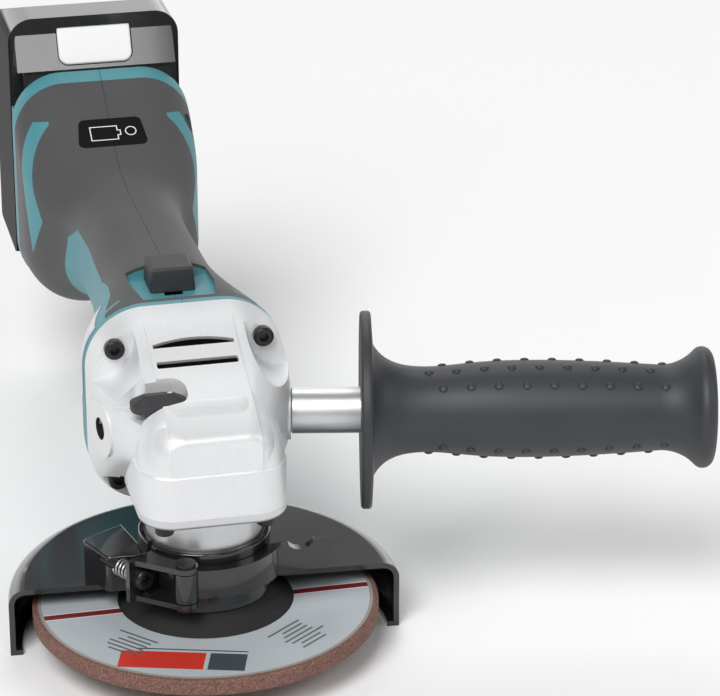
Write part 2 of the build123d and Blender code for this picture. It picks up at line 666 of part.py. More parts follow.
# Shaft-lock button, its pin and its spring: they press down together
with BuildPart() as lock_button:
    with BuildSketch(Plane.XY.offset(LOCK_Z - 1.2)):
        with Locations((LOCK_PAD_X, LOCK_PAD_Y)):
            RectangleRounded(LOCK_PAD_L, LOCK_PAD_W, 5.2)
    extrude(amount=5.2)
    chamfer(lock_button.faces().sort_by(Axis.Z)[-1].edges().sort_by(Axis.X)[0], 3.0, 5.0)
    fillet(lock_button.faces().sort_by(Axis.Z)[-1].edges(), 0.7)
    with BuildSketch(Plane.XY.offset(LOCK_Z + 4.0)):
        with Locations((LOCK_X - 1.4, LOCK_Y)):
            Circle(1.5)
    extrude(amount=-1.6, mode=Mode.SUBTRACT)
lock_button.part.label = "lock_button"
export_step(lock_button.part, "parts/lock_button.step")

with BuildPart() as lock_pin:
    with BuildSketch(Plane.XY.offset(GEAR_TOP_Z + 0.9 + LOCK_TRAVEL)):
        with Locations((LOCK_X, LOCK_Y)):
            Circle(LOCK_PIN_R)
    extrude(amount=LOCK_Z - 1.2 - GEAR_TOP_Z - 0.9 - LOCK_TRAVEL)
    chamfer(lock_pin.faces().sort_by(Axis.Z)[0].edges(), 0.5)
lock_pin.part.label = "lock_pin"
export_step(lock_pin.part, "parts/lock_pin.step")

with BuildPart() as lock_spring:
    with BuildSketch(Plane.XY.offset(LOCK_Z - 1.2)):
        with Locations((LOCK_X, LOCK_Y)):
            Circle(3.8)
            Circle(LOCK_PIN_R + 0.6, mode=Mode.SUBTRACT)
    extrude(amount=-5.0)
lock_spring.part.label = "lock_spring"
export_step(lock_spring.part, "parts/lock_spring.step")

# Guard shell: pressed half dish with a turned-in lip, cut straight across the wheel
with BuildPart() as wheel_guard:
    with BuildSketch(GUARD_XZ):
        with BuildLine():
            Line((COLLAR_OUT, PLATE_TOP), (GUARD_OUT - 6, PLATE_TOP))
            TangentArc((GUARD_OUT - 6, PLATE_TOP), (GUARD_OUT, PLATE_TOP - 6), tangent=(1, 0))
            Polyline(
                (GUARD_OUT, PLATE_TOP - 6),
                (GUARD_OUT, SKIRT_Z),
                (GUARD_R - 2.4, SKIRT_Z),
                (GUARD_R - 2.4, SKIRT_Z + GUARD_T),
                (GUARD_R, SKIRT_Z + GUARD_T),
                (GUARD_R, PLATE_Z - 4),
            )
            TangentArc((GUARD_R, PLATE_Z - 4), (GUARD_R - 4, PLATE_Z), tangent=(0, 1))
            Polyline((GUARD_R - 4, PLATE_Z), (COLLAR_OUT, PLATE_Z), (COLLAR_OUT, PLATE_TOP))
        make_face()
    revolve(axis=Axis.Z)
    with BuildSketch(GUARD_XY.offset(SKIRT_Z - 1)):
        with Locations((0, -GUARD_OUT)):
            Rectangle(3 * GUARD_OUT, 2 * GUARD_OUT)
    extrude(amount=GUARD_DROP + 2, mode=Mode.SUBTRACT)
wheel_guard.part.label = "wheel_guard"
export_step(wheel_guard.part, "parts/wheel_guard.step")

# Guard collar: split ring on the neck
CLAMP_MID = CLAMP_Z + CLAMP_H / 2
YOKE_A = 214.0
PIVOT_A = 250.0
PIVOT_R = 29.0
YOKE_XY = Plane.XY.rotated((0, 0, GUARD_TURN + YOKE_A))
PIVOT = (PIVOT_R * cos(radians(PIVOT_A)), PIVOT_R * sin(radians(PIVOT_A)))
YOKE_PIVOT = (
    PIVOT_R * cos(radians(PIVOT_A - YOKE_A)),
    PIVOT_R * sin(radians(PIVOT_A - YOKE_A)),
)
with BuildPart() as guard_collar:
    with BuildSketch(Plane.XY.offset(PLATE_Z)):
        Circle(COLLAR_OUT)
        Circle(COLLAR_R, mode=Mode.SUBTRACT)
    extrude(amount=COLLAR_TOP - PLATE_Z)
    fillet(guard_collar.faces().sort_by(Axis.Z)[-1].edges(), 0.8)
    with BuildSketch(YOKE_XY.offset(PLATE_TOP + 2)):
        with Locations((COLLAR_OUT, -2.5)):
            Rectangle(8, 2.4)
    extrude(amount=COLLAR_TOP, mode=Mode.SUBTRACT)
guard_collar.part.label = "guard_collar"
export_step(guard_collar.part, "parts/guard_collar.step")

# Clamp anchor: folded block welded to the guard and the collar
SCREW_AT = YOKE_XY.x_dir * 31.0 + Vector(0, 0, CLAMP_MID)
ANCHOR_GAP = 11.0
with BuildPart() as clamp_anchor:
    with BuildSketch(YOKE_XY.offset(PLATE_TOP)):
        Polygon(
            (20.0, -8.0),
            (24.0, -9.5),
            (33.0, -14.8),
            (30.5, -32.4),
            (12.0, -32.4),
            align=None,
        )
        Circle(COLLAR_OUT, mode=Mode.SUBTRACT)
    extrude(amount=CLAMP_TOP - 3.0 - PLATE_TOP)
    fillet(clamp_anchor.edges().filter_by(Axis.Z).filter_by(lambda e: e.center().X < -34), 2.5)
    fillet(clamp_anchor.faces().sort_by(Axis.Z)[-1].edges(), 0.8)
    with BuildSketch(Plane(SCREW_AT, z_dir=-YOKE_XY.y_dir)):
        Circle(2.05)
    extrude(amount=ANCHOR_GAP + 9.0, mode=Mode.SUBTRACT)
clamp_anchor.part.label = "clamp_anchor"
export_step(clamp_anchor.part, "parts/clamp_anchor.step")

# Clamp yoke: upright plate with two lugs that carry the lever pin
with BuildPart() as clamp_yoke:
    with BuildSketch(YOKE_XY.offset(CLAMP_Z - 2.4)):
        with Locations((30.4, 1.0)):
            Rectangle(12.6, 2.0)
    extrude(amount=CLAMP_H + 4.8)
    for z0 in (CLAMP_Z - 2.4, CLAMP_TOP + 0.4):
        with BuildSketch(YOKE_XY.offset(z0)):
            with Locations(YOKE_PIVOT):
                Circle(4.4)
            with Locations((29.6, 1.0)):
                Rectangle(9.0, 2.0)
            make_hull()
            Circle(COLLAR_OUT + 0.1, mode=Mode.SUBTRACT)
        extrude(amount=2.0)
    with BuildSketch(YOKE_XY.offset(CLAMP_Z - 3)):
        with Locations(YOKE_PIVOT):
            Circle(2.2)
    extrude(amount=CLAMP_H + 8, mode=Mode.SUBTRACT)
    with BuildSketch(Plane(SCREW_AT, z_dir=YOKE_XY.y_dir)):
        Circle(2.05)
    extrude(amount=4.0, mode=Mode.SUBTRACT)
clamp_yoke.part.label = "clamp_yoke"
export_step(clamp_yoke.part, "parts/clamp_yoke.step")

with BuildPart() as clamp_screw:
    with BuildSketch(Plane(SCREW_AT + YOKE_XY.y_dir * 2.0, z_dir=YOKE_XY.y_dir)):
        Circle(4.0)
    extrude(amount=2.8)
    fillet(clamp_screw.edges().filter_by(GeomType.CIRCLE).group_by(SortBy.DISTANCE)[-1], 1.3)
    with BuildSketch(Plane(SCREW_AT + YOKE_XY.y_dir * 2.0, z_dir=-YOKE_XY.y_dir)):
        Circle(2.0)
    extrude(amount=ANCHOR_GAP + 10.0)
    with BuildSketch(Plane(SCREW_AT + YOKE_XY.y_dir * 4.8, z_dir=YOKE_XY.y_dir)):
        RectangleRounded(4.2, 1.0, 0.2)
        RectangleRounded(1.0, 4.2, 0.2)
    extrude(amount=-1.6, mode=Mode.SUBTRACT)
clamp_screw.part.label = "clamp_screw"
export_step(clamp_screw.part, "parts/clamp_screw.step")

with BuildPart() as clamp_spring:
    with BuildSketch(Plane(SCREW_AT, z_dir=-YOKE_XY.y_dir)):
        Circle(3.3)
        Circle(2.3, mode=Mode.SUBTRACT)
    extrude(amount=ANCHOR_GAP)
clamp_spring.part.label = "clamp_spring"
export_step(clamp_spring.part, "parts/clamp_spring.step")

with BuildPart() as clamp_pin:
    with BuildSketch(GUARD_XY.offset(CLAMP_Z - 2.4)):
        with Locations(PIVOT):
            Circle(2.2)
    extrude(amount=CLAMP_H + 4.8)
    for z0, tall in ((CLAMP_Z - 3.6, 1.2), (CLAMP_TOP + 2.4, 1.2)):
        with BuildSketch(GUARD_XY.offset(z0)):
            with Locations(PIVOT):
                Circle(3.6)
        extrude(amount=tall)
clamp_pin.part.label = "clamp_pin"
export_step(clamp_pin.part, "parts/clamp_pin.step")

# Clamp lever: barrel on the pin, band round the collar, finger tab on the right
LEVER_IN = COLLAR_OUT + PART_GAP
LEVER_OUT = LEVER_IN + 4.2
with BuildPart() as clamp_lever:
    with BuildSketch(GUARD_XY.offset(CLAMP_Z)):
        Circle(LEVER_OUT)
        Circle(LEVER_IN, mode=Mode.SUBTRACT)
        Polygon(
            (0, 0),
            (60 * cos(radians(254)), 60 * sin(radians(254))),
            (60 * cos(radians(290)), 60 * sin(radians(290))),
            (60 * cos(radians(333)), 60 * sin(radians(333))),
            align=None,
            mode=Mode.INTERSECT,
        )
        with Locations(PIVOT):
            Circle(4.3)
        Polygon((21.6, -10.8), (24.6, -14.2), (45.6, -8.6), (44.9, -5.6), align=None)
        with Locations(PIVOT):
            Circle(2.2 + RUN_FIT, mode=Mode.SUBTRACT)
    extrude(amount=CLAMP_H)
    with BuildSketch(GUARD_XZ):
        with Locations((33.5, CLAMP_TOP + 3.6)):
            Circle(6.0)
    extrude(amount=40, both=True, mode=Mode.SUBTRACT)
clamp_lever.part.label = "clamp_lever"
export_step(clamp_lever.part, "parts/clamp_lever.step")

# Side handle: metal sleeve, stud, moulded grip
HANDLE_UP = Plane(HANDLE_AT, x_dir=HANDLE_DIR, z_dir=HANDLE_DIR.cross(Vector(0, 0, 1)))
HANDLE_AXIS = Axis(HANDLE_AT, HANDLE_DIR)
with BuildPart() as handle_sleeve:
    with BuildSketch(Plane(HANDLE_AT, z_dir=HANDLE_DIR)):
        Circle(ROD_R)
        Circle(SOCKET_R + 0.05, mode=Mode.SUBTRACT)
    extrude(amount=ROD_L)
    chamfer(handle_sleeve.edges().filter_by(GeomType.CIRCLE).group_by(Axis.X)[0].sort_by(SortBy.RADIUS)[-1], 0.6)
handle_sleeve.part.label = "handle_sleeve"
export_step(handle_sleeve.part, "parts/handle_sleeve.step")

with BuildPart() as handle_stud:
    with BuildSketch(Plane(HANDLE_AT - HANDLE_DIR * (SOCKET_L - 1.0), z_dir=HANDLE_DIR)):
        Circle(SOCKET_R)
    extrude(amount=STUD_END + SOCKET_L - 1.0)
    chamfer(handle_stud.edges().filter_by(GeomType.CIRCLE), 0.6)
handle_stud.part.label = "handle_stud"
export_step(handle_stud.part, "parts/handle_stud.step")

with BuildPart() as handle_grip:
    with BuildSketch(HANDLE_UP):
        with BuildLine():
            Polyline(
                (STUD_END, 0),
                (STUD_END, SOCKET_R + 0.05),
                (ROD_L, SOCKET_R + 0.05),
                (ROD_L, HANDLE_FLANGE_R - 1.2),
            )
            TangentArc((ROD_L, HANDLE_FLANGE_R - 1.2), (ROD_L + 1.2, HANDLE_FLANGE_R), tangent=(0, 1))
            Line((ROD_L + 1.2, HANDLE_FLANGE_R), (ROD_L + 2.6, HANDLE_FLANGE_R))
            TangentArc((ROD_L + 2.6, HANDLE_FLANGE_R), (ROD_L + 3.9, HANDLE_FLANGE_R - 1.5), tangent=(1, 0))
            Line((ROD_L + 3.9, HANDLE_FLANGE_R - 1.5), (ROD_L + 4.6, 23.7))
            Spline(
                (ROD_L + 4.6, 23.7),
                (ROD_L + 11.5, 17.4),
                (ROD_L + 19.5, 15.6),
                (ROD_L + 40.0, 16.7),
                (ROD_L + 62.5, 17.5),
                (ROD_L + 86.0, 16.8),
                (ROD_L + 107.0, 15.5),
            )
            TangentArc((ROD_L + 107.0, 15.5), (ROD_L + 120.3, 20.9), tangent=(1, -0.07))
            TangentArc((ROD_L + 120.3, 20.9), (HANDLE_L - 1.2, 16.5), tangent=(0.72, 0.69))
            ThreePointArc((HANDLE_L - 1.2, 16.5), (HANDLE_L - 0.4, 11.0), (HANDLE_L, 5.0))
            Polyline((HANDLE_L, 5.0), (HANDLE_L, 0), (STUD_END, 0))
        make_face()
    revolve(axis=HANDLE_AXIS)
handle_grip.part.label = "handle_grip"
export_step(handle_grip.part, "parts/handle_grip.step")

# Motor: rotor shaft, core and fan turn together
with BuildPart() as rotor_shaft:
    with BuildSketch(Plane.YZ):
        with BuildLine():
            Polyline(
                (SMALL_END * PINION_ROOT_Y - 1.0, AXIS_Z),
                (SMALL_END * PINION_ROOT_Y - 1.0, AXIS_Z + PINION_BORE),
                (FRONT_BRG_Y - PART_GAP, AXIS_Z + PINION_BORE),
                (FRONT_BRG_Y - PART_GAP, AXIS_Z + ROTOR_R),
                (REAR_BRG_Y + REAR_BRG_W, AXIS_Z + ROTOR_R),
                (REAR_BRG_Y + REAR_BRG_W, AXIS_Z),
                close=True,
            )
        make_face()
    revolve(axis=ROTOR_AXIS)
rotor_shaft.part.label = "rotor_shaft"
export_step(rotor_shaft.part, "parts/rotor_shaft.step")

with BuildPart() as rotor_core:
    with BuildSketch(Plane.XZ.offset(-STATOR_Y + 1.0)):
        with Locations((0, AXIS_Z)):
            Circle(ROTOR_CORE_R)
            Circle(ROTOR_R, mode=Mode.SUBTRACT)
        with Locations((0, AXIS_Z)):
            with PolarLocations(ROTOR_CORE_R - 3.4, 4):
                RectangleRounded(1.8, 10.0, 0.5, mode=Mode.SUBTRACT)
    extrude(amount=-STATOR_L - 2.0)
rotor_core.part.label = "rotor_core"
export_step(rotor_core.part, "parts/rotor_core.step")

with BuildPart() as fan:
    with BuildSketch(Plane.XZ.offset(-FAN_Y - FAN_W)):
        with Locations((0, AXIS_Z)):
            Circle(FAN_R)
            Circle(ROTOR_R, mode=Mode.SUBTRACT)
    extrude(amount=1.6)
    with BuildSketch(Plane.XZ.offset(-FAN_Y - FAN_W)):
        with Locations((0, AXIS_Z)):
            Circle(9.0)
            Circle(ROTOR_R, mode=Mode.SUBTRACT)
            with PolarLocations(18.5, 14):
                Rectangle(19.4, 1.5)
    extrude(amount=FAN_W)
fan.part.label = "fan"
export_step(fan.part, "parts/fan.step")

with BuildPart() as rotor_front_bearing:
    with BuildSketch(Plane.XZ.offset(-FRONT_BRG_Y)):
        with Locations((0, AXIS_Z)):
            Circle(FRONT_BRG_OUT)
            Circle(ROTOR_R + RUN_FIT, mode=Mode.SUBTRACT)
    extrude(amount=-FRONT_BRG_W)
rotor_front_bearing.part.label = "rotor_front_bearing"
export_step(rotor_front_bearing.part, "parts/rotor_front_bearing.step")

with BuildPart() as rotor_rear_bearing:
    with BuildSketch(Plane.XZ.offset(-REAR_BRG_Y)):
        with Locations((0, AXIS_Z)):
            Circle(REAR_BRG_OUT)
            Circle(ROTOR_R + RUN_FIT, mode=Mode.SUBTRACT)
    extrude(amount=-REAR_BRG_W)
rotor_rear_bearing.part.label = "rotor_rear_bearing"
export_step(rotor_rear_bearing.part, "parts/rotor_rear_bearing.step")

with BuildPart() as stator_core:
    with BuildSketch(Plane.XZ.offset(-STATOR_Y)):
        with Locations((0, AXIS_Z)):
            Circle(STATOR_R)
            Circle(STATOR_R - 4.0, mode=Mode.SUBTRACT)
            with PolarLocations((STATOR_R - 3.0 + STATOR_BORE + 0.4) / 2, 6):
                Rectangle(STATOR_R - 3.4 - STATOR_BORE, 6.4)
    extrude(amount=-STATOR_L)
stator_core.part.label = "stator_core"
export_step(stator_core.part, "parts/stator_core.step")

with BuildPart() as stator_coils:
    with BuildSketch(Plane.XZ.offset(-STATOR_Y + COIL_OVER)):
        with Locations((0, AXIS_Z)):
            with PolarLocations(STATOR_BORE + 3.2, 6):
                RectangleRounded(4.0, COIL_W, 0.8)
    extrude(amount=-STATOR_L - 2 * COIL_OVER)
    with BuildSketch(Plane.XZ.offset(-STATOR_Y)):
        with Locations((0, AXIS_Z)):
            with PolarLocations((STATOR_R - 3.0 + STATOR_BORE + 0.4) / 2, 6):
                Rectangle(STATOR_R - 2.0 - STATOR_BORE, 6.4)
    extrude(amount=-STATOR_L, mode=Mode.SUBTRACT)
stator_coils.part.label = "stator_coils"
export_step(stator_coils.part, "parts/stator_coils.step")

# Body shell: one outer loft, a skin inset for the soft grips and a cavity inset
with BuildPart() as shell_outer:
    for y, half_w, low, high, corner in SHELL:
        with BuildSketch(Plane.XZ.offset(-y)):
            with Locations((0, (low + high) / 2)):
                RectangleRounded(2 * half_w, high - low, corner)
    loft()
with BuildPart() as shell_mid:
    for y, half_w, low, high, corner in SHELL:
        with BuildSketch(Plane.XZ.offset(-y)):
            with Locations((0, (low + high) / 2)):
                RectangleRounded(2 * (half_w - SKIN), high - low - 2 * SKIN, corner - SKIN)
    loft()

# Cavity, less the ribs, bulkhead and bosses that stay solid: y from, y to, z top
SOLID = [
    (REAR_Y - REAR_WALL, REAR_Y + 1.0, 140.0),
    (52.0, 54.2, 140.0),
    (60.0, 62.2, 140.0),
    (REAR_BRG_Y - 1.0, REAR_BRG_Y + REAR_BRG_W + 1.0, 140.0),
    (104.0, 106.0, 72.0),
    (120.0, 122.0, 72.0),
    (184.0, 186.0, 64.0),
    (198.0, 200.0, 64.0),
]
RECESS = [(-13.5, 39.5), (13.5, 39.5), (15.5, 56.0), (15.0, 71.0), (-15.0, 71.0), (-15.5, 56.0)]
with BuildPart() as shell_cavity:
    for y, half_w, low, high, corner in SHELL:
        with BuildSketch(Plane.XZ.offset(-y)):
            with Locations((0, (low + high) / 2)):
                RectangleRounded(2 * (half_w - WALL), high - low - 2 * WALL, corner - WALL)
    loft()
    for y0, y1, z1 in SOLID:
        with Locations((0, (y0 + y1) / 2, z1 - 60)):
            Box(90, y1 - y0, 120, mode=Mode.SUBTRACT)
    with Locations((0, 55.5, LINK_TOP + 0.4 + 10)):
        Box(44, 36, 20, mode=Mode.SUBTRACT)
    with BuildSketch(Plane.XZ.offset(-JOINT_Y)):
        with Locations(*CORNERS):
            Circle(4.8)
    extrude(amount=-SCREW_GRIP - 2.0, mode=Mode.SUBTRACT)
    with BuildSketch(Plane.YZ.offset(-50)):
        with Locations(*CASE_SCREWS):
            Circle(4.6)
    extrude(amount=100, mode=Mode.SUBTRACT)

# Indicator panel let into the sloping top
PANEL_AT = Plane((0, 192.0, 116.2), x_dir=(1, 0, 0), z_dir=(0, -0.52, 0.85))
PANEL_W = 28.4
PANEL_H = 14.4
with BuildPart() as indicator_panel:
    add(shell_outer.part)
    add(shell_mid.part, mode=Mode.SUBTRACT)
    with BuildSketch(PANEL_AT.offset(-8)) as panel_face:
        Trapezoid(PANEL_W, PANEL_H, 83)
        fillet(panel_face.vertices(), 2.6)
    extrude(amount=16, mode=Mode.INTERSECT)
indicator_panel.part.label = "indicator_panel"
export_step(indicator_panel.part, "parts/indicator_panel.step")

# Soft grip moulded over the shell, open where the shell shows as a strip or a slash
FLANK_STRIP = [(205.5, 118.0), (200.5, 119.5), (182.0, 84.0), (190.0, 68.0)]
PAD_SLASH = [(32.0, 39.2), (20.8, 45.2), (21.4, 46.6), (32.0, 41.6)]
with BuildPart() as grip_band:
    add(shell_outer.part)
    add(shell_mid.part, mode=Mode.SUBTRACT)
    with BuildSketch(Plane.YZ):
        Polygon(
            (37.0, 101.5),
            (60.0, 101.0),
            (76.0, 98.0),
            (90.0, 94.0),
            (150.0, 92.0),
            (164.0, 84.0),
            (178.0, 40.0),
            (213.0, 40.0),
            (215.5, 145.0),
            (37.0, 145.0),
            align=None,
        )
    extrude(amount=60, both=True, mode=Mode.INTERSECT)
    with BuildSketch(PANEL_AT.offset(-8)) as panel_face:
        Trapezoid(PANEL_W, PANEL_H, 83)
        fillet(panel_face.vertices(), 2.6)
    extrude(amount=16, mode=Mode.SUBTRACT)
    with BuildSketch(Plane.XY.offset(RECESS_Z)):
        Polygon(*RECESS, align=None)
    extrude(amount=20, mode=Mode.SUBTRACT)
    for side in (-1, 1):
        with BuildSketch(Plane.YZ.offset(side * 24)):
            Polygon(*FLANK_STRIP, align=None)
        extrude(amount=side * 20, mode=Mode.SUBTRACT)
        with BuildSketch(Plane.XY.offset(RECESS_Z - 20)):
            Polygon(*[(side * x, y) for x, y in PAD_SLASH], align=None)
        extrude(amount=40, mode=Mode.SUBTRACT)
    with BuildSketch(Plane.YZ.offset(CASE_HEAD_X)):
        with Locations(*CASE_SCREWS):
            Circle(CASE_HEAD_R + 0.4)
    extrude(amount=40, mode=Mode.SUBTRACT)

SEAM = 0.2
with BuildPart() as grip_left:
    add(grip_band.part)
    split(bisect_by=Plane.YZ.offset(-SEAM / 2), keep=Keep.BOTTOM)
grip_left.part.label = "grip_left"
export_step(grip_left.part, "parts/grip_left.step")

with BuildPart() as grip_right:
    add(grip_band.part)
    split(bisect_by=Plane.YZ.offset(SEAM / 2), keep=Keep.TOP)
grip_right.part.label = "grip_right"
export_step(grip_right.part, "parts/grip_right.step")

# Clamshell body with rails for the battery
STEM_Y0 = KNOB_Y0 + 4.0
STEM_Y1 = KNOB_Y1 - 4.0
with BuildPart() as body_shell:
    add(shell_outer.part)
    add(shell_cavity.part, mode=Mode.SUBTRACT)
    add(grip_band.part, mode=Mode.SUBTRACT)
    add(indicator_panel.part, mode=Mode.SUBTRACT)
    with BuildSketch(Plane.XZ.offset(-JOINT_Y)):
        with Locations((0, AXIS_Z)):
            Circle(STATOR_R)
    extrude(amount=JOINT_Y - REAR_BRG_Y + 1.0, mode=Mode.SUBTRACT)
    with BuildSketch(Plane.XZ.offset(-JOINT_Y)):
        with Locations((0, AXIS_Z)):
            Circle(REAR_BRG_OUT)
    extrude(amount=JOINT_Y - REAR_BRG_Y - REAR_BRG_W, mode=Mode.SUBTRACT)
    with BuildSketch(Plane.XZ.offset(-JOINT_Y)):
        with Locations(*CORNERS):
            Circle(SCREW_R + 0.05)
    extrude(amount=-SCREW_GRIP - 1.0, mode=Mode.SUBTRACT)
    with Locations((0, (44 + 101) / 2, LINK_TOP - LINK_T / 2)):
        Box(2 * LINK_HW + 1.0, 101 - 44, LINK_T + 0.8, mode=Mode.SUBTRACT)
    with BuildSketch(Plane.XY.offset(RECESS_Z)):
        Polygon(*RECESS, align=None)
    extrude(amount=20, mode=Mode.SUBTRACT)
    with BuildSketch(Plane.XY.offset(RECESS_Z + 1)):
        with Locations((0, (STEM_Y0 + STEM_Y1 - SWITCH_TRAVEL) / 2)):
            Rectangle(7.0, STEM_Y1 - STEM_Y0 + SWITCH_TRAVEL + 1.0)
    extrude(amount=-RECESS_FLOOR - 3, mode=Mode.SUBTRACT)
    with BuildSketch(Plane.XZ.offset(-REAR_BRG_Y + 2)):
        with Locations((15, 88), (-15, 88)):
            Circle(3.0)
    extrude(amount=-12, mode=Mode.SUBTRACT)
    with Locations((0, REAR_Y - 2, 76)):
        Box(32.4, 14, 32.4, mode=Mode.SUBTRACT)
    with BuildSketch(Plane.YZ.offset(-13)):
        with Locations(*CASE_SCREWS):
            Circle(CASE_SCREW_R + 0.05)
    extrude(amount=60, mode=Mode.SUBTRACT)
    with BuildSketch(Plane.YZ.offset(CASE_HEAD_X)):
        with Locations(*CASE_SCREWS):
            Circle(CASE_HEAD_R + 0.4)
    extrude(amount=40, mode=Mode.SUBTRACT)
    for side in (-1, 1):
        with Locations((side * (RAIL_IN + RAIL_OUT) / 2, (REAR_Y + RAIL_Y1) / 2, (RAIL_Z0 + RAIL_Z1) / 2)):
            Box(RAIL_OUT - RAIL_IN, RAIL_Y1 - REAR_Y, RAIL_Z1 - RAIL_Z0)
        with Locations((side * (LIP_IN + RAIL_IN) / 2, (LIP_Y + RAIL_Y1) / 2, (RAIL_Z0 + RAIL_Z1) / 2)):
            Box(RAIL_IN - LIP_IN, RAIL_Y1 - LIP_Y, RAIL_Z1 - RAIL_Z0)

with BuildPart() as housing_left:
    add(body_shell.part)
    split(bisect_by=Plane.YZ.offset(-SEAM / 2), keep=Keep.BOTTOM)
housing_left.part.label = "housing_left"
export_step(housing_left.part, "parts/housing_left.step")

with BuildPart() as housing_right:
    add(body_shell.part)
    split(bisect_by=Plane.YZ.offset(SEAM / 2), keep=Keep.TOP)
housing_right.part.label = "housing_right"
export_step(housing_right.part, "parts/housing_right.step")

with BuildPart() as housing_screws:
    with BuildSketch(Plane.YZ.offset(CASE_HEAD_X)):
        with Locations(*CASE_SCREWS):
            Circle(CASE_HEAD_R)
    extrude(amount=2.4)
    fillet(housing_screws.faces().sort_by(Axis.X)[-4:].edges(), 0.8)
    with BuildSketch(Plane.YZ.offset(CASE_HEAD_X)):
        with Locations(*CASE_SCREWS):
            Circle(CASE_SCREW_R)
    extrude(amount=-CASE_HEAD_X - 12.0)
housing_screws.part.label = "housing_screws"
export_step(housing_screws.part, "parts/housing_screws.step")

# Air baffle between the fan and the stator
with BuildPart() as air_baffle:
    with BuildSketch(Plane.XZ.offset(-FAN_Y - FAN_W - 1.2)):
        with Locations((0, AXIS_Z - 0.2)):
            RectangleRounded(64.2, 65.8, 21.6)
        with Locations((0, AXIS_Z + 40)):
            Rectangle(80, 2 * (AXIS_Z + 40 - LINK_TOP + LINK_T + 0.6), mode=Mode.SUBTRACT)
        with Locations(*CORNERS):
            Circle(5.0, mode=Mode.SUBTRACT)
        with Locations((0, AXIS_Z)):
            Circle(18.0, mode=Mode.SUBTRACT)
    extrude(amount=-2.0)
air_baffle.part.label = "air_baffle"
export_step(air_baffle.part, "parts/air_baffle.step")

# Slide switch: knob, link, switch unit
with BuildPart() as switch_knob:
    with BuildSketch(Plane.XY.offset(RECESS_Z + 0.3)):
        with Locations((0, (KNOB_Y0 + KNOB_Y1) / 2)):
            RectangleRounded(2 * KNOB_HW, KNOB_Y1 - KNOB_Y0, 1.5)
    extrude(amount=KNOB_TOP - RECESS_Z - 0.3, taper=4)
    fillet(switch_knob.faces().sort_by(Axis.Z)[-1].edges(), 1.2)
    with BuildSketch(Plane.XY.offset(RECESS_Z + 0.3)):
        with Locations((0, (STEM_Y0 + STEM_Y1) / 2)):
            Rectangle(6.0, STEM_Y1 - STEM_Y0)
    extrude(amount=LINK_TOP - RECESS_Z - 0.3)
switch_knob.part.label = "switch_knob"
export_step(switch_knob.part, "parts/switch_knob.step")

with BuildPart() as switch_link:
    with Locations((0, (STEM_Y0 - 2 + LINK_END_Y) / 2, LINK_TOP - LINK_T / 2)):
        Box(2 * LINK_HW, LINK_END_Y - STEM_Y0 + 2, LINK_T)
switch_link.part.label = "switch_link"
export_step(switch_link.part, "parts/switch_link.step")

with BuildPart() as switch_unit:
    with Locations((0, 113.0, 84.0)):
        Box(17.0, 26.0, 24.0)
    fillet(switch_unit.edges().filter_by(Axis.Y), 1.5)
    with Locations((0, 103.0, 98.0)):
        Box(6.0, 6.0, 6.0)
switch_unit.part.label = "switch_unit"
export_step(switch_unit.part, "parts/switch_unit.step")

with BuildPart() as controller:
    with Locations((0, 192.0, 81.0)):
        Box(40.0, 22.0, 34.0)
    with Locations((0, 192.0, 99.0)):
        with GridLocations(0, 3.6, 1, 6):
            Box(36.0, 1.4, 8.0)
controller.part.label = "controller"
export_step(controller.part, "parts/controller.step")

with BuildPart() as terminal_block:
    with Locations((0, REAR_Y - 5.5, 76)):
        Box(32.0, 11.0, 32.0)
terminal_block.part.label = "terminal_block"
export_step(terminal_block.part, "parts/terminal_block.step")

with BuildPart() as terminal_blades:
    with Locations((0, REAR_Y + 2.3, (BLADE_Z0 + BLADE_Z1) / 2)):
        with GridLocations(2 * BLADE_X, 0, 2, 1):
            Box(1.0, 4.6, BLADE_Z1 - BLADE_Z0)
terminal_blades.part.label = "terminal_blades"
export_step(terminal_blades.part, "parts/terminal_blades.step")

# Battery: case outline and the room inside it
BATT_SIDE = [
    (BATT_BASE_Y, BATT_TOE[1]),
    (BATT_TOE[0], BATT_Z0),
    (BATT_Y1, BATT_Z0),
    (BATT_Y1, BATT_TAIL[1]),
    (BATT_TAIL[0], BATT_Z1),
    (BATT_BASE_Y, BATT_Z1),
]
BATT_MID_Z = (BATT_Z0 + BATT_Z1) / 2
LATCH_UP = Vector(0, STEP_TOP_Y - STEP_Y, BATT_Z1 - STEP_Z).normalized()
LATCH_OUT = Vector(1, 0, 0).cross(LATCH_UP)
LATCH_AT = Plane(
    (0, (STEP_Y + STEP_TOP_Y) / 2, (STEP_Z + BATT_Z1) / 2), x_dir=(1, 0, 0), z_dir=LATCH_OUT
)
with BuildPart() as battery_case:
    with BuildSketch(Plane.XZ.offset(-BATT_BASE_Y)):
        with Locations((0, BATT_MID_Z)):
            RectangleRounded(2 * BATT_HW, BATT_Z1 - BATT_Z0, BATT_CORNER)
    extrude(amount=BATT_BASE_Y - BATT_Y1)
    with BuildSketch(Plane.YZ):
        Polygon(*BATT_SIDE, align=None)
    extrude(amount=BATT_HW + 1, both=True, mode=Mode.INTERSECT)
    fillet(battery_case.faces().sort_by(Axis.Y)[-1].edges(), 4.0)
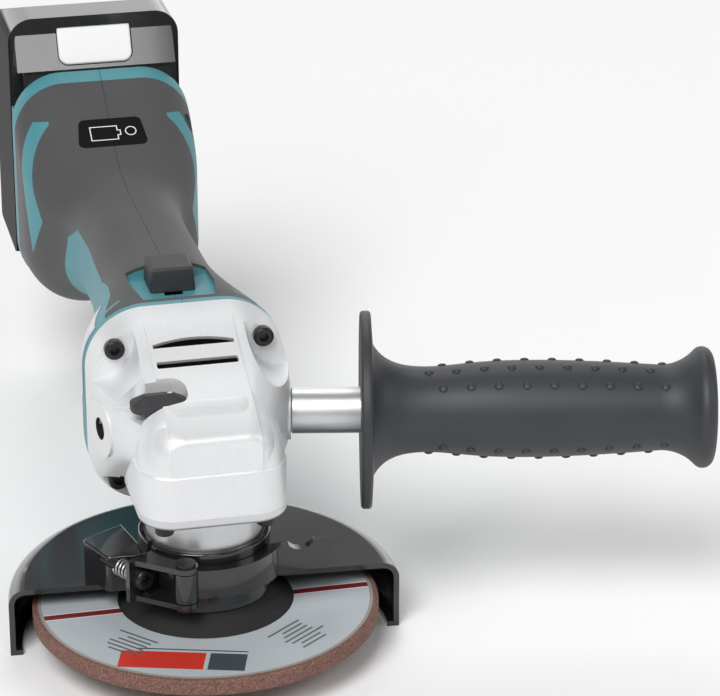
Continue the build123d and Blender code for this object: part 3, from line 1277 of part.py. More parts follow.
with BuildPart() as battery_room:
    with BuildSketch(Plane.XZ.offset(-BATT_SPLIT_Y + BATT_FRONT_ROOM)):
        with Locations((0, BATT_MID_Z)):
            RectangleRounded(
                2 * (BATT_HW - BATT_WALL), BATT_Z1 - BATT_Z0 - 2 * BATT_WALL, BATT_CORNER - BATT_WALL
            )
        with Locations(*BATT_SCREWS):
            Circle(BATT_SCREW_R + 1.4, mode=Mode.SUBTRACT)
    extrude(amount=BATT_SPLIT_Y - BATT_FRONT_ROOM - BATT_Y1 + BATT_WALL)
    with BuildSketch(Plane.YZ):
        Polygon(*BATT_SIDE, align=None)
        offset(amount=-BATT_WALL, kind=Kind.INTERSECTION, mode=Mode.REPLACE)
    extrude(amount=BATT_HW, both=True, mode=Mode.INTERSECT)
    with Locations((0, BATT_SPLIT_Y - 20, STEP_Z + 28.2)):
        Box(2 * BATT_HW, 40, 40, mode=Mode.SUBTRACT)

# Button step: leaning front with rounded upper corners
with BuildPart() as battery_step:
    with BuildSketch(Plane.YZ):
        Polygon(
            (BATT_BASE_Y + 1, STEP_Z),
            (STEP_Y, STEP_Z),
            (STEP_TOP_Y, BATT_Z1),
            (STEP_TOP_Y + 6, BATT_Z1),
            align=None,
        )
    extrude(amount=STEP_HW, both=True)
    with BuildSketch(LATCH_AT.offset(6)):
        with Locations((0, -20)):
            RectangleRounded(2 * STEP_HW, (LATCH_AT.origin.Z - STEP_Z) * 2 / LATCH_UP.Z + 40, STEP_CORNER)
    extrude(amount=-40, mode=Mode.INTERSECT)

# Front case: T rail, contact slots and the button pocket
with BuildPart() as battery_front:
    add(battery_case.part)
    with Locations((0, BATT_SPLIT_Y + 50, BATT_MID_Z)):
        Box(200, 100, 200, mode=Mode.SUBTRACT)
    add(battery_step.part)
    with BuildSketch(Plane.XY.offset(RAIL_Z0 + 0.5)):
        with Locations((0, (REAR_Y + 0.5 + LIP_Y - 0.4) / 2)):
            Rectangle(2 * (RAIL_IN - 0.4), LIP_Y - 0.9 - REAR_Y)
        with Locations((0, (LIP_Y + BATT_BASE_Y) / 2)):
            Rectangle(2 * (LIP_IN - 0.4), BATT_BASE_Y - LIP_Y + 2.0)
    extrude(amount=STEP_Z - RAIL_Z0 - 0.5)
    with Locations((0, REAR_Y + 3.3, (RAIL_Z0 + BLADE_Z1 + 1) / 2)):
        with GridLocations(2 * BLADE_X, 0, 2, 1):
            Box(2.2, 6.6, BLADE_Z1 + 1 - RAIL_Z0, mode=Mode.SUBTRACT)
    with BuildSketch(LATCH_AT.offset(1)):
        RectangleRounded(LATCH_W + 2 * PART_GAP, LATCH_H + 2 * PART_GAP, 4.4)
    extrude(amount=-9.5, mode=Mode.SUBTRACT)
    add(battery_room.part, mode=Mode.SUBTRACT)
    with BuildSketch(Plane.XZ.offset(-BATT_SPLIT_Y)):
        with Locations(*BATT_SCREWS):
            Circle(BATT_SCREW_R + 0.05)
    extrude(amount=8.0, mode=Mode.SUBTRACT)
battery_front.part.label = "battery_front"
export_step(battery_front.part, "parts/battery_front.step")

with BuildPart() as battery_back:
    add(battery_case.part)
    with Locations((0, BATT_SPLIT_Y - 50, BATT_MID_Z)):
        Box(200, 100, 200, mode=Mode.SUBTRACT)
    add(battery_room.part, mode=Mode.SUBTRACT)
    with BuildSketch(Plane.XZ.offset(-BATT_SPLIT_Y)):
        with Locations(*BATT_SCREWS):
            Circle(BATT_SCREW_R + 0.05)
    extrude(amount=-9.0, mode=Mode.SUBTRACT)
battery_back.part.label = "battery_back"
export_step(battery_back.part, "parts/battery_back.step")

with BuildPart() as battery_screws:
    with BuildSketch(Plane.XZ.offset(-BATT_SPLIT_Y + 7.0)):
        with Locations(*BATT_SCREWS):
            Circle(BATT_SCREW_R)
    extrude(amount=-15.0)
battery_screws.part.label = "battery_screws"
export_step(battery_screws.part, "parts/battery_screws.step")

# Ten cells across the case, held by two plates
CELL_PITCH_Z = 18.55
CELL_PITCH_Y = 19.0
CELL_MID_Y = 263.0
CELL_MID_Z = 95.7
with BuildPart() as battery_cells:
    with BuildSketch(Plane.YZ.offset(-CELL_L / 2)):
        with Locations((CELL_MID_Y, CELL_MID_Z)):
            with GridLocations(CELL_PITCH_Y, CELL_PITCH_Z, 2, 5):
                Circle(CELL_R)
    extrude(amount=CELL_L)
battery_cells.part.label = "battery_cells"
export_step(battery_cells.part, "parts/battery_cells.step")

with BuildPart() as cell_holders:
    with Locations((0, CELL_MID_Y, CELL_MID_Z)):
        with GridLocations(40.0, 0, 2, 1):
            Box(2.3, 37.5, 86.0)
    with BuildSketch(Plane.YZ.offset(-CELL_L / 2)):
        with Locations((CELL_MID_Y, CELL_MID_Z)):
            with GridLocations(CELL_PITCH_Y, CELL_PITCH_Z, 2, 5):
                Circle(CELL_R + 0.1)
    extrude(amount=CELL_L, mode=Mode.SUBTRACT)
cell_holders.part.label = "cell_holders"
export_step(cell_holders.part, "parts/cell_holders.step")

with BuildPart() as battery_board:
    with Locations((0, BATT_SPLIT_Y - 4.2, CELL_MID_Z)):
        Box(52.0, 1.6, 82.0)
battery_board.part.label = "battery_board"
export_step(battery_board.part, "parts/battery_board.step")

# Latch button in the step, with its spring
with BuildPart() as latch_button:
    with BuildSketch(LATCH_AT.offset(0.6)):
        RectangleRounded(LATCH_W, LATCH_H, 4.0)
    extrude(amount=-5.6)
    fillet(latch_button.faces().sort_by(SortBy.AREA)[-2:].sort_by(Axis.Y)[0].edges(), 0.9)
latch_button.part.label = "latch_button"
export_step(latch_button.part, "parts/latch_button.step")

with BuildPart() as latch_spring:
    with BuildSketch(LATCH_AT.offset(-5.0)):
        Circle(3.2)
        Circle(2.2, mode=Mode.SUBTRACT)
    extrude(amount=-0.8)
latch_spring.part.label = "latch_spring"
export_step(latch_spring.part, "parts/latch_spring.step")
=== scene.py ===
import math

import bpy
from mathutils import Matrix, Vector


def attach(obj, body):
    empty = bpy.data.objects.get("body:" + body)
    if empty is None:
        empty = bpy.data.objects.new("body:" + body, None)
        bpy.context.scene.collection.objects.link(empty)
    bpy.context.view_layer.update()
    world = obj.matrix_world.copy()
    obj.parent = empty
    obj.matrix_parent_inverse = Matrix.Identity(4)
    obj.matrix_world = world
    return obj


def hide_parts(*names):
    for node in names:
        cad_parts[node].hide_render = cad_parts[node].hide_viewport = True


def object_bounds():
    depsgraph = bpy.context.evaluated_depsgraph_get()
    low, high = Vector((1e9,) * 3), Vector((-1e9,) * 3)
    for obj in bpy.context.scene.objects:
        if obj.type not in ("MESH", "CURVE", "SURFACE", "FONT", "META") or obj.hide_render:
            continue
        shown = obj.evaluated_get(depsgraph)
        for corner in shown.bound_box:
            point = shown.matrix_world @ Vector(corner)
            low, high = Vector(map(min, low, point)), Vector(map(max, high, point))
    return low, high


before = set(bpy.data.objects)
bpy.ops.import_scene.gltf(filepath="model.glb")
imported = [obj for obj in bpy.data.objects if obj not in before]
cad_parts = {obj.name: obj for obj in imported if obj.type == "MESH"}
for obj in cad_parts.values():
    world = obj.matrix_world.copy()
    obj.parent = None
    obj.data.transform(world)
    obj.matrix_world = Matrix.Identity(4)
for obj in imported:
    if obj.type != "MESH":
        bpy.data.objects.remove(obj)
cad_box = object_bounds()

# Camera: a long lens where the photograph was taken from, in front of the wheel and a little to its
# left, looking down on it.
CAMERA_AT = Vector((-0.1879, -1.0524, 0.5651))
CAMERA_AIM = Vector((0.05724, 0.0, 0.09742))
CAMERA_LENS = 166.33
CAMERA_FILM = 36.0

scene = bpy.context.scene
scene.view_settings.view_transform = "Standard"


def hang(name, data, at, way):
    hung = bpy.data.objects.new(name, data)
    hung.location = at
    hung.rotation_euler = way.to_track_quat("-Z", "Y").to_euler()
    scene.collection.objects.link(hung)
    return hung


photo_lens = bpy.data.cameras.new("photo_camera")
photo_lens.lens = CAMERA_LENS
photo_lens.sensor_width = CAMERA_FILM
scene.camera = hang("photo_camera", photo_lens, CAMERA_AT, CAMERA_AIM - CAMERA_AT)


# Room: pale walls that darken towards the ceiling, and behind the tool a white backdrop that fades
# out at its top and its sides.
ROOM_WALLS = 0.31
ROOM_TOP = 0.10
BACKDROP = 1.5
BACKDROP_TOP = (0.34, 0.44)
BACKDROP_SIDES = (0.4, 0.8)


def put(tree, kind, **values):
    made = tree.nodes.new(kind)
    for key, value in values.items():
        setattr(made, key, value)
    return made


def feed(tree, target, source):
    if hasattr(source, "links"):
        tree.links.new(source, target)
    else:
        target.default_value = source


def calc(tree, operation, *values):
    made = put(tree, "ShaderNodeMath", operation=operation)
    for target, value in zip(made.inputs, values):
        feed(tree, target, value)
    return made.outputs[0]


def spread(tree, value, low, high, between=(0.0, 1.0)):
    made = put(tree, "ShaderNodeMapRange")
    feed(tree, made.inputs["Value"], value)
    made.inputs["From Min"].default_value = between[0]
    made.inputs["From Max"].default_value = between[1]
    made.inputs["To Min"].default_value = low
    made.inputs["To Max"].default_value = high
    return made.outputs["Result"]


def parted(tree, place):
    made = put(tree, "ShaderNodeSeparateXYZ")
    feed(tree, made.inputs[0], place)
    return made.outputs["X"], made.outputs["Y"], made.outputs["Z"]


room = bpy.data.worlds.new("studio_room")
scene.world = room
room.use_nodes = True
tree = room.node_tree
tree.nodes.clear()
_, ahead, above = parted(tree, put(tree, "ShaderNodeTexCoord").outputs["Generated"])
walls = spread(tree, above, low=ROOM_WALLS, high=ROOM_TOP)
white = spread(tree, above, low=BACKDROP, high=0.0, between=BACKDROP_TOP)
behind = spread(tree, ahead, low=0.0, high=1.0, between=BACKDROP_SIDES)
glow = put(tree, "ShaderNodeBackground")
feed(tree, glow.inputs["Strength"], calc(tree, "MULTIPLY_ADD", white, behind, walls))
feed(tree, put(tree, "ShaderNodeOutputWorld").inputs[0], glow.outputs[0])


# Lamps: four soft panels round the tool and a broad sun from the front left. Each panel has its
# name, place, aim, width and power.
PANELS = (
    ("key_panel", (-0.9, -1.2, 1.35), (0.0, 0.05, 0.06), 0.9, 11.0),
    ("back_panel", (0.3, 1.4, 1.6), (0.05, 0.3, 0.0), 1.0, 9.0),
    ("side_panel", (1.4, -0.6, 0.9), (0.08, 0.0, 0.07), 0.8, 5.0),
    ("front_panel", (0.12, -1.3, 1.15), (0.0, 0.2, 0.12), 0.4, 3.0),
)
SUN_FROM = Vector((-0.55, -0.75, 1.25))
SUN_POWER = 1.62
SUN_SPREAD = math.radians(30.0)

for name, at, aim, width, power in PANELS:
    panel = bpy.data.lights.new(name, "AREA")
    panel.size = width
    panel.energy = power
    hang(name, panel, at, Vector(aim) - Vector(at))

sun = bpy.data.lights.new("dome", "SUN")
sun.angle = SUN_SPREAD
sun.energy = SUN_POWER
hang("dome", sun, (0, 0, 0), -SUN_FROM)


# Floor: a wide board painted matt white, under the lowest edge of the tool. It is the stage, and no
# part of the object.
FLOOR_Z = cad_box[0][2]
FLOOR_SIZE = 12.0
FLOOR_WHITE = (0.93, 0.93, 0.93, 1)


def clear_selection():
    bpy.ops.object.select_all(action="DESELECT")


def pick(piece):
    clear_selection()
    piece.select_set(True)
    bpy.context.view_layer.objects.active = piece


def settle(piece):
    pick(piece)
    bpy.ops.object.transform_apply(location=True, rotation=True, scale=True)
    clear_selection()


def new_finish(name):
    made = bpy.data.materials.new(name)
    made.use_nodes = True
    tree = made.node_tree
    tree.nodes.clear()
    shader = put(tree, "ShaderNodeBsdfPrincipled")
    feed(tree, put(tree, "ShaderNodeOutputMaterial").inputs[0], shader.outputs[0])
    return made, tree, shader


clear_selection()
bpy.ops.mesh.primitive_plane_add(size=FLOOR_SIZE, location=(0, 0, FLOOR_Z))
floor = bpy.context.object
floor.name = "floor"
settle(floor)
floor_paint, _, shader = new_finish("floor_paint")
shader.inputs["Base Color"].default_value = FLOOR_WHITE
shader.inputs["Roughness"].default_value = 0.9
shader.inputs["Specular IOR Level"].default_value = 0.1
floor.data.materials.append(floor_paint)


# Spindle, gears, bearings and motor iron: turned or pressed from steel and left bare and oiled, with
# fine tool marks running round the spindle. The springs, the lock pin and the handle's stud are the
# same.
BROAD_SCALE = 0.03
FINE_SHARE = 0.35
BROAD_SHARE = 0.65


def blend_colour(tree, factor, a, b):
    made = put(tree, "ShaderNodeMix", data_type="RGBA")
    feed(tree, made.inputs["Factor"], factor)
    feed(tree, made.inputs["A"], a)
    feed(tree, made.inputs["B"], b)
    return made.outputs["Result"]


def weighed(tree, a, share_a, b, share_b):
    return calc(tree, "MULTIPLY_ADD", a, share_a, calc(tree, "MULTIPLY", b, share_b))


def roughen(tree, shader, height, depth, strength):
    made = put(tree, "ShaderNodeBump")
    made.inputs["Strength"].default_value = strength
    made.inputs["Distance"].default_value = depth
    feed(tree, made.inputs["Height"], height)
    feed(tree, shader.inputs["Normal"], made.outputs["Normal"])


def object_place(tree):
    return put(tree, "ShaderNodeTexCoord").outputs["Object"]


def grain_group():
    group = bpy.data.node_groups.new("surface_grain", "ShaderNodeTree")
    for name, way, kind in (
        ("Scale", "INPUT", "NodeSocketFloat"),
        ("Stretch", "INPUT", "NodeSocketVector"),
        ("Height", "OUTPUT", "NodeSocketFloat"),
        ("Tone", "OUTPUT", "NodeSocketFloat"),
    ):
        group.interface.new_socket(name, in_out=way, socket_type=kind)
    inlet = put(group, "NodeGroupInput")
    outlet = put(group, "NodeGroupOutput")
    place = object_place(group)
    pull = put(group, "ShaderNodeVectorMath", operation="MULTIPLY")
    feed(group, pull.inputs[0], place)
    feed(group, pull.inputs[1], inlet.outputs["Stretch"])
    fine = put(group, "ShaderNodeTexNoise")
    fine.inputs["Detail"].default_value = 3.0
    feed(group, fine.inputs["Vector"], pull.outputs[0])
    feed(group, fine.inputs["Scale"], inlet.outputs["Scale"])
    broad = put(group, "ShaderNodeTexNoise")
    broad.inputs["Detail"].default_value = 2.0
    feed(group, broad.inputs["Vector"], place)
    feed(group, broad.inputs["Scale"], calc(group, "MULTIPLY", inlet.outputs["Scale"], BROAD_SCALE))
    tone = weighed(group, fine.outputs["Fac"], FINE_SHARE, broad.outputs["Fac"], BROAD_SHARE)
    feed(group, outlet.inputs["Height"], fine.outputs["Fac"])
    feed(group, outlet.inputs["Tone"], tone)
    return group


GRAIN = grain_group()


def grained(tree, scale, stretch=(1, 1, 1)):
    made = put(tree, "ShaderNodeGroup", node_tree=GRAIN)
    made.inputs["Scale"].default_value = scale
    made.inputs["Stretch"].default_value = stretch
    return made.outputs["Height"], made.outputs["Tone"]


def plain_finish(
    name, grain, dark, pale, smooth, rough, depth, strength, stretch=(1, 1, 1), sockets=None,
):
    made, tree, shader = new_finish(name)
    height, tone = grained(tree, grain, stretch)
    feed(tree, shader.inputs["Base Color"], blend_colour(tree, tone, dark, pale))
    feed(tree, shader.inputs["Roughness"], spread(tree, tone, low=smooth, high=rough))
    for socket, value in (sockets or {}).items():
        shader.inputs[socket].default_value = value
    roughen(tree, shader, height, depth, strength)
    return made


def cover(material, *names):
    for name in names:
        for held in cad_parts[name].material_slots:
            held.material = material


turned_steel = plain_finish(
    "turned_steel", grain=260.0, stretch=(0.25, 0.25, 6.0),
    dark=(0.42, 0.42, 0.43, 1), pale=(0.66, 0.66, 0.67, 1), smooth=0.22, rough=0.42,
    depth=0.0001, strength=0.25, sockets={"Metallic": 1.0},
)
cover(
    turned_steel,
    "inner_flange", "lock_nut", "spindle", "bevel_gear", "pinion", "spindle_bearing",
    "bearing_retainer", "spindle_top_bearing", "rotor_shaft", "rotor_core", "rotor_front_bearing",
    "rotor_rear_bearing", "stator_core", "lock_pin", "lock_spring", "latch_spring", "handle_stud",
)


# Motor windings and battery terminals: copper wire wound on the teeth of the stator, and copper
# blades pressed into the terminal block.
copper = plain_finish(
    "copper_wire", grain=900.0, stretch=(1, 6, 1),
    dark=(0.42, 0.17, 0.08, 1), pale=(0.72, 0.36, 0.20, 1), smooth=0.25, rough=0.45,
    depth=0.0002, strength=0.5, sockets={"Metallic": 1.0},
)
cover(copper, "stator_coils", "terminal_blades")


# Bearing box and handle sleeve: aluminium left bare. The box is die-cast, its neck is turned smooth
# for the guard's collar, and four screws hold it under the gear housing.
bare_cast = plain_finish(
    "bare_aluminium", grain=500.0, stretch=(0.3, 0.3, 5.0),
    dark=(0.58, 0.59, 0.60, 1), pale=(0.80, 0.81, 0.82, 1), smooth=0.3, rough=0.5,
    depth=0.0001, strength=0.3, sockets={"Metallic": 0.9},
)
cover(bare_cast, "bearing_box", "handle_sleeve")


# Gear housing: die-cast aluminium sprayed with silver paint, whose flakes give it a fine sparkle
# over the faint orange peel of the casting. Inside the air slots and the tapped handle socket it is
# bare, and painted near black as the shade that falls in these hollows.
PAINT_DARK = (0.70, 0.71, 0.72, 1)
PAINT_PALE = (0.82, 0.83, 0.84, 1)
PAINT_EDGE = 0.0007
FLAKE_SCALE = 4200.0
FLAKE_BRIGHT = (0.95, 0.95, 0.96, 1)
FLAKE_FROM = 0.86
FLAKE_SHARE = 0.35
SLOT_AT = Vector((0, 0.0065, 0.0944))
SLOT_SLOPE = math.radians(25.0)
SLOT_HALF = 0.0152
SLOT_FROM = -0.0026
SLOT_TO = 0.020
TAP_AT = Vector((-0.0346, 0.0125, 0.0700))
TAP_CANT = math.radians(12.0)
TAP_EDGE = 0.0041
# Painted shade: the near-black colour given to the insides of the air slots and the tapped socket.
SLOT_SHADE_DARK = (0.012, 0.012, 0.013, 1)


def cellular(tree, place, scale, **values):
    made = put(tree, "ShaderNodeTexVoronoi", **values)
    made.inputs["Scale"].default_value = scale
    feed(tree, made.inputs["Vector"], place)
    return made


def cell_draws(tree, cells):
    made = put(tree, "ShaderNodeSeparateColor")
    feed(tree, made.inputs[0], cells.outputs["Color"])
    return made.outputs["Red"], made.outputs["Green"]


def all_of(tree, mask, *others):
    for other in others:
        mask = calc(tree, "MULTIPLY", mask, other)
    return mask


def squares(tree, a, b):
    return calc(tree, "ADD", calc(tree, "MULTIPLY", a, a), calc(tree, "MULTIPLY", b, b))


silver_paint, tree, shader = new_finish("silver_paint")
height, tone = grained(tree, 1300.0)
place = object_place(tree)
spark, _ = cell_draws(tree, cellular(tree, place, FLAKE_SCALE))
x, y, z = parted(tree, place)
back = calc(tree, "SUBTRACT", y, SLOT_AT.y)
over = calc(tree, "SUBTRACT", z, SLOT_AT.z)
along = weighed(tree, back, math.cos(SLOT_SLOPE), over, math.sin(SLOT_SLOPE))
under = weighed(tree, back, math.sin(SLOT_SLOPE), over, -math.cos(SLOT_SLOPE))
in_slot = all_of(
    tree,
    calc(tree, "LESS_THAN", calc(tree, "ABSOLUTE", x), SLOT_HALF),
    calc(tree, "GREATER_THAN", along, SLOT_FROM),
    calc(tree, "LESS_THAN", along, SLOT_TO),
    calc(tree, "GREATER_THAN", under, PAINT_EDGE),
)
tap_x = calc(tree, "SUBTRACT", x, TAP_AT.x)
tap_y = calc(tree, "SUBTRACT", y, TAP_AT.y)
tap_z = calc(tree, "SUBTRACT", z, TAP_AT.z)
off_axis = weighed(tree, tap_y, math.cos(TAP_CANT), tap_x, -math.sin(TAP_CANT))
in_tap = all_of(
    tree,
    calc(tree, "LESS_THAN", squares(tree, off_axis, tap_z), TAP_EDGE ** 2),
    calc(tree, "LESS_THAN", x, 0.0),
)
# Painted shade: inside the slots and the socket the paint is left off and the colour goes near black,
# for the shade in those hollows.
bare_in_shade = calc(tree, "MAXIMUM", in_slot, in_tap)
glint = calc(tree, "MULTIPLY", calc(tree, "GREATER_THAN", spark, FLAKE_FROM), FLAKE_SHARE)
painted = blend_colour(tree, tone, PAINT_DARK, PAINT_PALE)
painted = blend_colour(tree, glint, painted, FLAKE_BRIGHT)
feed(tree, shader.inputs["Base Color"], blend_colour(tree, bare_in_shade, painted, SLOT_SHADE_DARK))
feed(tree, shader.inputs["Metallic"], spread(tree, bare_in_shade, low=0.35, high=0.0))
feed(tree, shader.inputs["Roughness"], spread(tree, tone, low=0.36, high=0.5))
roughen(tree, shader, height, depth=0.00012, strength=0.22)
cover(silver_paint, "gear_housing")


# Thread of the left handle socket: an M8 thread tapped into the casting, begun a turn behind the
# mouth. One ridge runs round the wall and is sunk in it.
THREAD_WAY = Vector((math.cos(TAP_CANT), math.sin(TAP_CANT), 0))
THREAD_PITCH = 0.00125
THREAD_TURNS = 9
THREAD_R = 0.0040
RIDGE_R = 0.0006
RIDGE_SIDES = 4
STEPS_PER_TURN = 28
SEAM_GAP = 1e-6


def wind(name, sides, wire, radius, pitch, turns, at, way):
    clear_selection()
    bpy.ops.mesh.primitive_circle_add(
        vertices=sides, radius=wire, location=(radius, 0, wire), rotation=(math.pi / 2, 0, 0),
    )
    made = bpy.context.object
    made.name = name
    settle(made)
    pick(made)
    wound = made.modifiers.new("wound", "SCREW")
    wound.axis = "Z"
    wound.angle = 2 * math.pi
    wound.iterations = turns
    wound.screw_offset = pitch
    wound.steps = STEPS_PER_TURN
    wound.render_steps = STEPS_PER_TURN
    wound.use_smooth_shade = True
    bpy.ops.object.modifier_apply(modifier="wound")
    bpy.ops.object.mode_set(mode="EDIT")
    bpy.ops.mesh.select_all(action="SELECT")
    bpy.ops.mesh.remove_doubles(threshold=SEAM_GAP)
    bpy.ops.mesh.fill_holes(sides=0)
    bpy.ops.mesh.select_all(action="SELECT")
    bpy.ops.mesh.normals_make_consistent(inside=False)
    bpy.ops.object.mode_set(mode="OBJECT")
    made.matrix_world = Matrix.Translation(at) @ way.to_track_quat("Z", "Y").to_matrix().to_4x4()
    settle(made)
    return made


thread = wind(
    "socket_thread", RIDGE_SIDES, RIDGE_R, THREAD_R, THREAD_PITCH, THREAD_TURNS,
    TAP_AT + THREAD_WAY * THREAD_PITCH, THREAD_WAY,
)
thread.data.materials.append(bare_cast)
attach(thread, "body")


# Switch knob, lock button, fan, baffle and inner mouldings: black nylon with the matt spark texture
# of the mould. The housing halves hold them, and the fan is pressed on the rotor shaft.
dark_nylon = plain_finish(
    "dark_nylon", grain=1900.0,
    dark=(0.022, 0.023, 0.025, 1), pale=(0.043, 0.044, 0.047, 1), smooth=0.42, rough=0.62,
    depth=0.00012, strength=0.35,
)
cover(
    dark_nylon,
    "switch_knob", "switch_link", "switch_unit", "lock_button", "fan", "air_baffle", "controller",
    "terminal_block", "cell_holders",
)


# Shaft-lock pin head: the riveted end of the steel pin, domed, and bright in the hole of the button
# that it carries.
PIN_HEAD_AT = Vector((-0.0122, -0.0053, 0.0884))
PIN_HEAD_R = 0.0012
PIN_HEAD_H = 0.0014
PIN_HEAD_SIDES = 32
PIN_HEAD_ROUND = 0.0004

clear_selection()
bpy.ops.mesh.primitive_cylinder_add(
    vertices=PIN_HEAD_SIDES, radius=PIN_HEAD_R, depth=PIN_HEAD_H,
    location=PIN_HEAD_AT + Vector((0, 0, PIN_HEAD_H / 2)),
)
pin_head = bpy.context.object
pin_head.name = "lock_pin_head"
rounded = pin_head.modifiers.new("rounded", "BEVEL")
rounded.width = PIN_HEAD_ROUND
rounded.segments = 3
bpy.ops.object.modifier_apply(modifier="rounded")
bpy.ops.object.shade_smooth_by_angle(angle=math.radians(40))
settle(pin_head)
pin_head.data.materials.append(turned_steel)
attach(pin_head, "shaft_lock")


# Body halves: glass-filled nylon moulded in teal, with the fine spark texture of the mould. Screws
# close them round the motor.
teal = plain_finish(
    "teal_nylon", grain=2200.0,
    dark=(0.060, 0.235, 0.275, 1), pale=(0.090, 0.310, 0.355, 1), smooth=0.38, rough=0.55,
    depth=0.00012, strength=0.3,
)
cover(teal, "housing_left", "housing_right")


# Soft grips: thermoplastic rubber moulded over the body halves, matt, with a leather-like texture of
# fine pebbles.
RUBBER_DARK = (0.047, 0.048, 0.050, 1)
RUBBER_PALE = (0.078, 0.079, 0.082, 1)
PEBBLE_SCALE = 1500.0
PEBBLE_DEPTH = -0.8

rubber, tree, shader = new_finish("soft_rubber")
height, tone = grained(tree, 1600.0)
pebble = cellular(tree, object_place(tree), PEBBLE_SCALE, feature="SMOOTH_F1")
pebbled = calc(tree, "MULTIPLY_ADD", pebble.outputs["Distance"], PEBBLE_DEPTH, height)
feed(tree, shader.inputs["Base Color"], blend_colour(tree, tone, RUBBER_DARK, RUBBER_PALE))
feed(tree, shader.inputs["Roughness"], spread(tree, tone, low=0.62, high=0.82))
shader.inputs["Sheen Weight"].default_value = 0.12
roughen(tree, shader, pebbled, depth=0.00018, strength=0.5)
cover(rubber, "grip_left", "grip_right")


# Nameplate: a bare plate of brushed aluminium foil, stuck to the left flank behind the gear housing.
# It follows the curve of the flank.
PLATE_AT = Vector((-0.045, 0.0480, 0.0850))
PLATE_L = 0.0200
PLATE_H = 0.0260
PLATE_CELLS_X = 28
PLATE_CELLS_Y = 20
PLATE_GLUE = 0.0001
PLATE_T = 0.0003

clear_selection()
bpy.ops.mesh.primitive_grid_add(
    x_subdivisions=PLATE_CELLS_X, y_subdivisions=PLATE_CELLS_Y, size=1.0,
    location=PLATE_AT, rotation=(0, -math.pi / 2, 0),
)
plate = bpy.context.object
plate.name = "nameplate"
settle(plate)
pick(plate)
bpy.ops.object.mode_set(mode="EDIT")
bpy.ops.mesh.select_all(action="SELECT")
bpy.ops.transform.resize(value=(1, PLATE_L, PLATE_H), center_override=PLATE_AT)
bpy.ops.object.mode_set(mode="OBJECT")
wrap = plate.modifiers.new("wrap", "SHRINKWRAP")
wrap.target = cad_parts["housing_left"]
wrap.wrap_method = "PROJECT"
wrap.use_project_x = True
wrap.use_positive_direction = True
wrap.use_negative_direction = False
wrap.offset = PLATE_GLUE
bpy.ops.object.modifier_apply(modifier="wrap")
wall = plate.modifiers.new("foil", "SOLIDIFY")
wall.thickness = PLATE_T
wall.offset = 1.0
bpy.ops.object.modifier_apply(modifier="foil")
settle(plate)

foil = plain_finish(
    "brushed_foil", grain=900.0, stretch=(1, 0.05, 1),
    dark=(0.62, 0.63, 0.64, 1), pale=(0.80, 0.81, 0.82, 1), smooth=0.3, rough=0.5,
    depth=0.00005, strength=0.3, sockets={"Metallic": 0.6},
)
plate.data.materials.append(foil)
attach(plate, "body")


# Indicator panel: a window of gloss black plastic, set flush in the sloping top of the body. A
# battery outline and a ring are printed on it in white.
WINDOW_AT = Vector((0, 0.192, 0.1162))
WINDOW_SLOPE = math.atan2(0.52, 0.85)
WINDOW_DARK = (0.006, 0.006, 0.007, 1)
WINDOW_PALE = (0.012, 0.012, 0.013, 1)
MARK_WHITE = (0.85, 0.86, 0.86, 1)
CELL_MARK_AT = (-0.0030, -0.0002)
CELL_MARK_OUT = (0.0056, 0.0036)
CELL_MARK_IN = (0.0052, 0.0032)
TIP_OUT_AT = (0.0031, -0.0002)
TIP_OUT = (0.0007, 0.0014)
TIP_IN_AT = (0.0027, -0.0002)
TIP_IN = (0.0007, 0.0010)
RING_AT = (0.0078, 0.0002)
RING_R = 0.0021
RING_LINE = 0.0002


def block_group():
    group = bpy.data.node_groups.new("printed_block", "ShaderNodeTree")
    for name in ("X", "Y", "Middle X", "Middle Y", "Half X", "Half Y"):
        group.interface.new_socket(name, in_out="INPUT", socket_type="NodeSocketFloat")
    group.interface.new_socket("Mask", in_out="OUTPUT", socket_type="NodeSocketFloat")
    inlet = put(group, "NodeGroupInput")
    outlet = put(group, "NodeGroupOutput")
    sides = []
    for axis in ("X", "Y"):
        off = calc(group, "SUBTRACT", inlet.outputs[axis], inlet.outputs["Middle " + axis])
        off = calc(group, "ABSOLUTE", off)
        sides.append(calc(group, "LESS_THAN", off, inlet.outputs["Half " + axis]))
    feed(group, outlet.inputs["Mask"], all_of(group, *sides))
    return group


BLOCK = block_group()


def block(tree, x, y, middle, half):
    made = put(tree, "ShaderNodeGroup", node_tree=BLOCK)
    feed(tree, made.inputs["X"], x)
    feed(tree, made.inputs["Y"], y)
    made.inputs["Middle X"].default_value = middle[0]
    made.inputs["Middle Y"].default_value = middle[1]
    made.inputs["Half X"].default_value = half[0]
    made.inputs["Half Y"].default_value = half[1]
    return made.outputs["Mask"]


window, tree, shader = new_finish("indicator_window")
height, tone = grained(tree, 300.0)
across, y, z = parted(tree, object_place(tree))
back = calc(tree, "SUBTRACT", y, WINDOW_AT.y)
over = calc(tree, "SUBTRACT", z, WINDOW_AT.z)
up = weighed(tree, back, math.cos(WINDOW_SLOPE), over, math.sin(WINDOW_SLOPE))
outer = calc(
    tree, "MAXIMUM",
    block(tree, across, up, CELL_MARK_AT, CELL_MARK_OUT),
    block(tree, across, up, TIP_OUT_AT, TIP_OUT),
)
inner = calc(
    tree, "MAXIMUM",
    block(tree, across, up, CELL_MARK_AT, CELL_MARK_IN),
    block(tree, across, up, TIP_IN_AT, TIP_IN),
)
outline = calc(tree, "SUBTRACT", outer, inner)
ring_x = calc(tree, "SUBTRACT", across, RING_AT[0])
ring_y = calc(tree, "SUBTRACT", up, RING_AT[1])
off_ring = calc(tree, "SUBTRACT", calc(tree, "SQRT", squares(tree, ring_x, ring_y)), RING_R)
ring = calc(tree, "LESS_THAN", calc(tree, "ABSOLUTE", off_ring), RING_LINE)
mark = calc(tree, "MAXIMUM", outline, ring)
black = blend_colour(tree, tone, WINDOW_DARK, WINDOW_PALE)
feed(tree, shader.inputs["Base Color"], blend_colour(tree, mark, black, MARK_WHITE))
feed(tree, shader.inputs["Roughness"], spread(tree, tone, low=0.08, high=0.16))
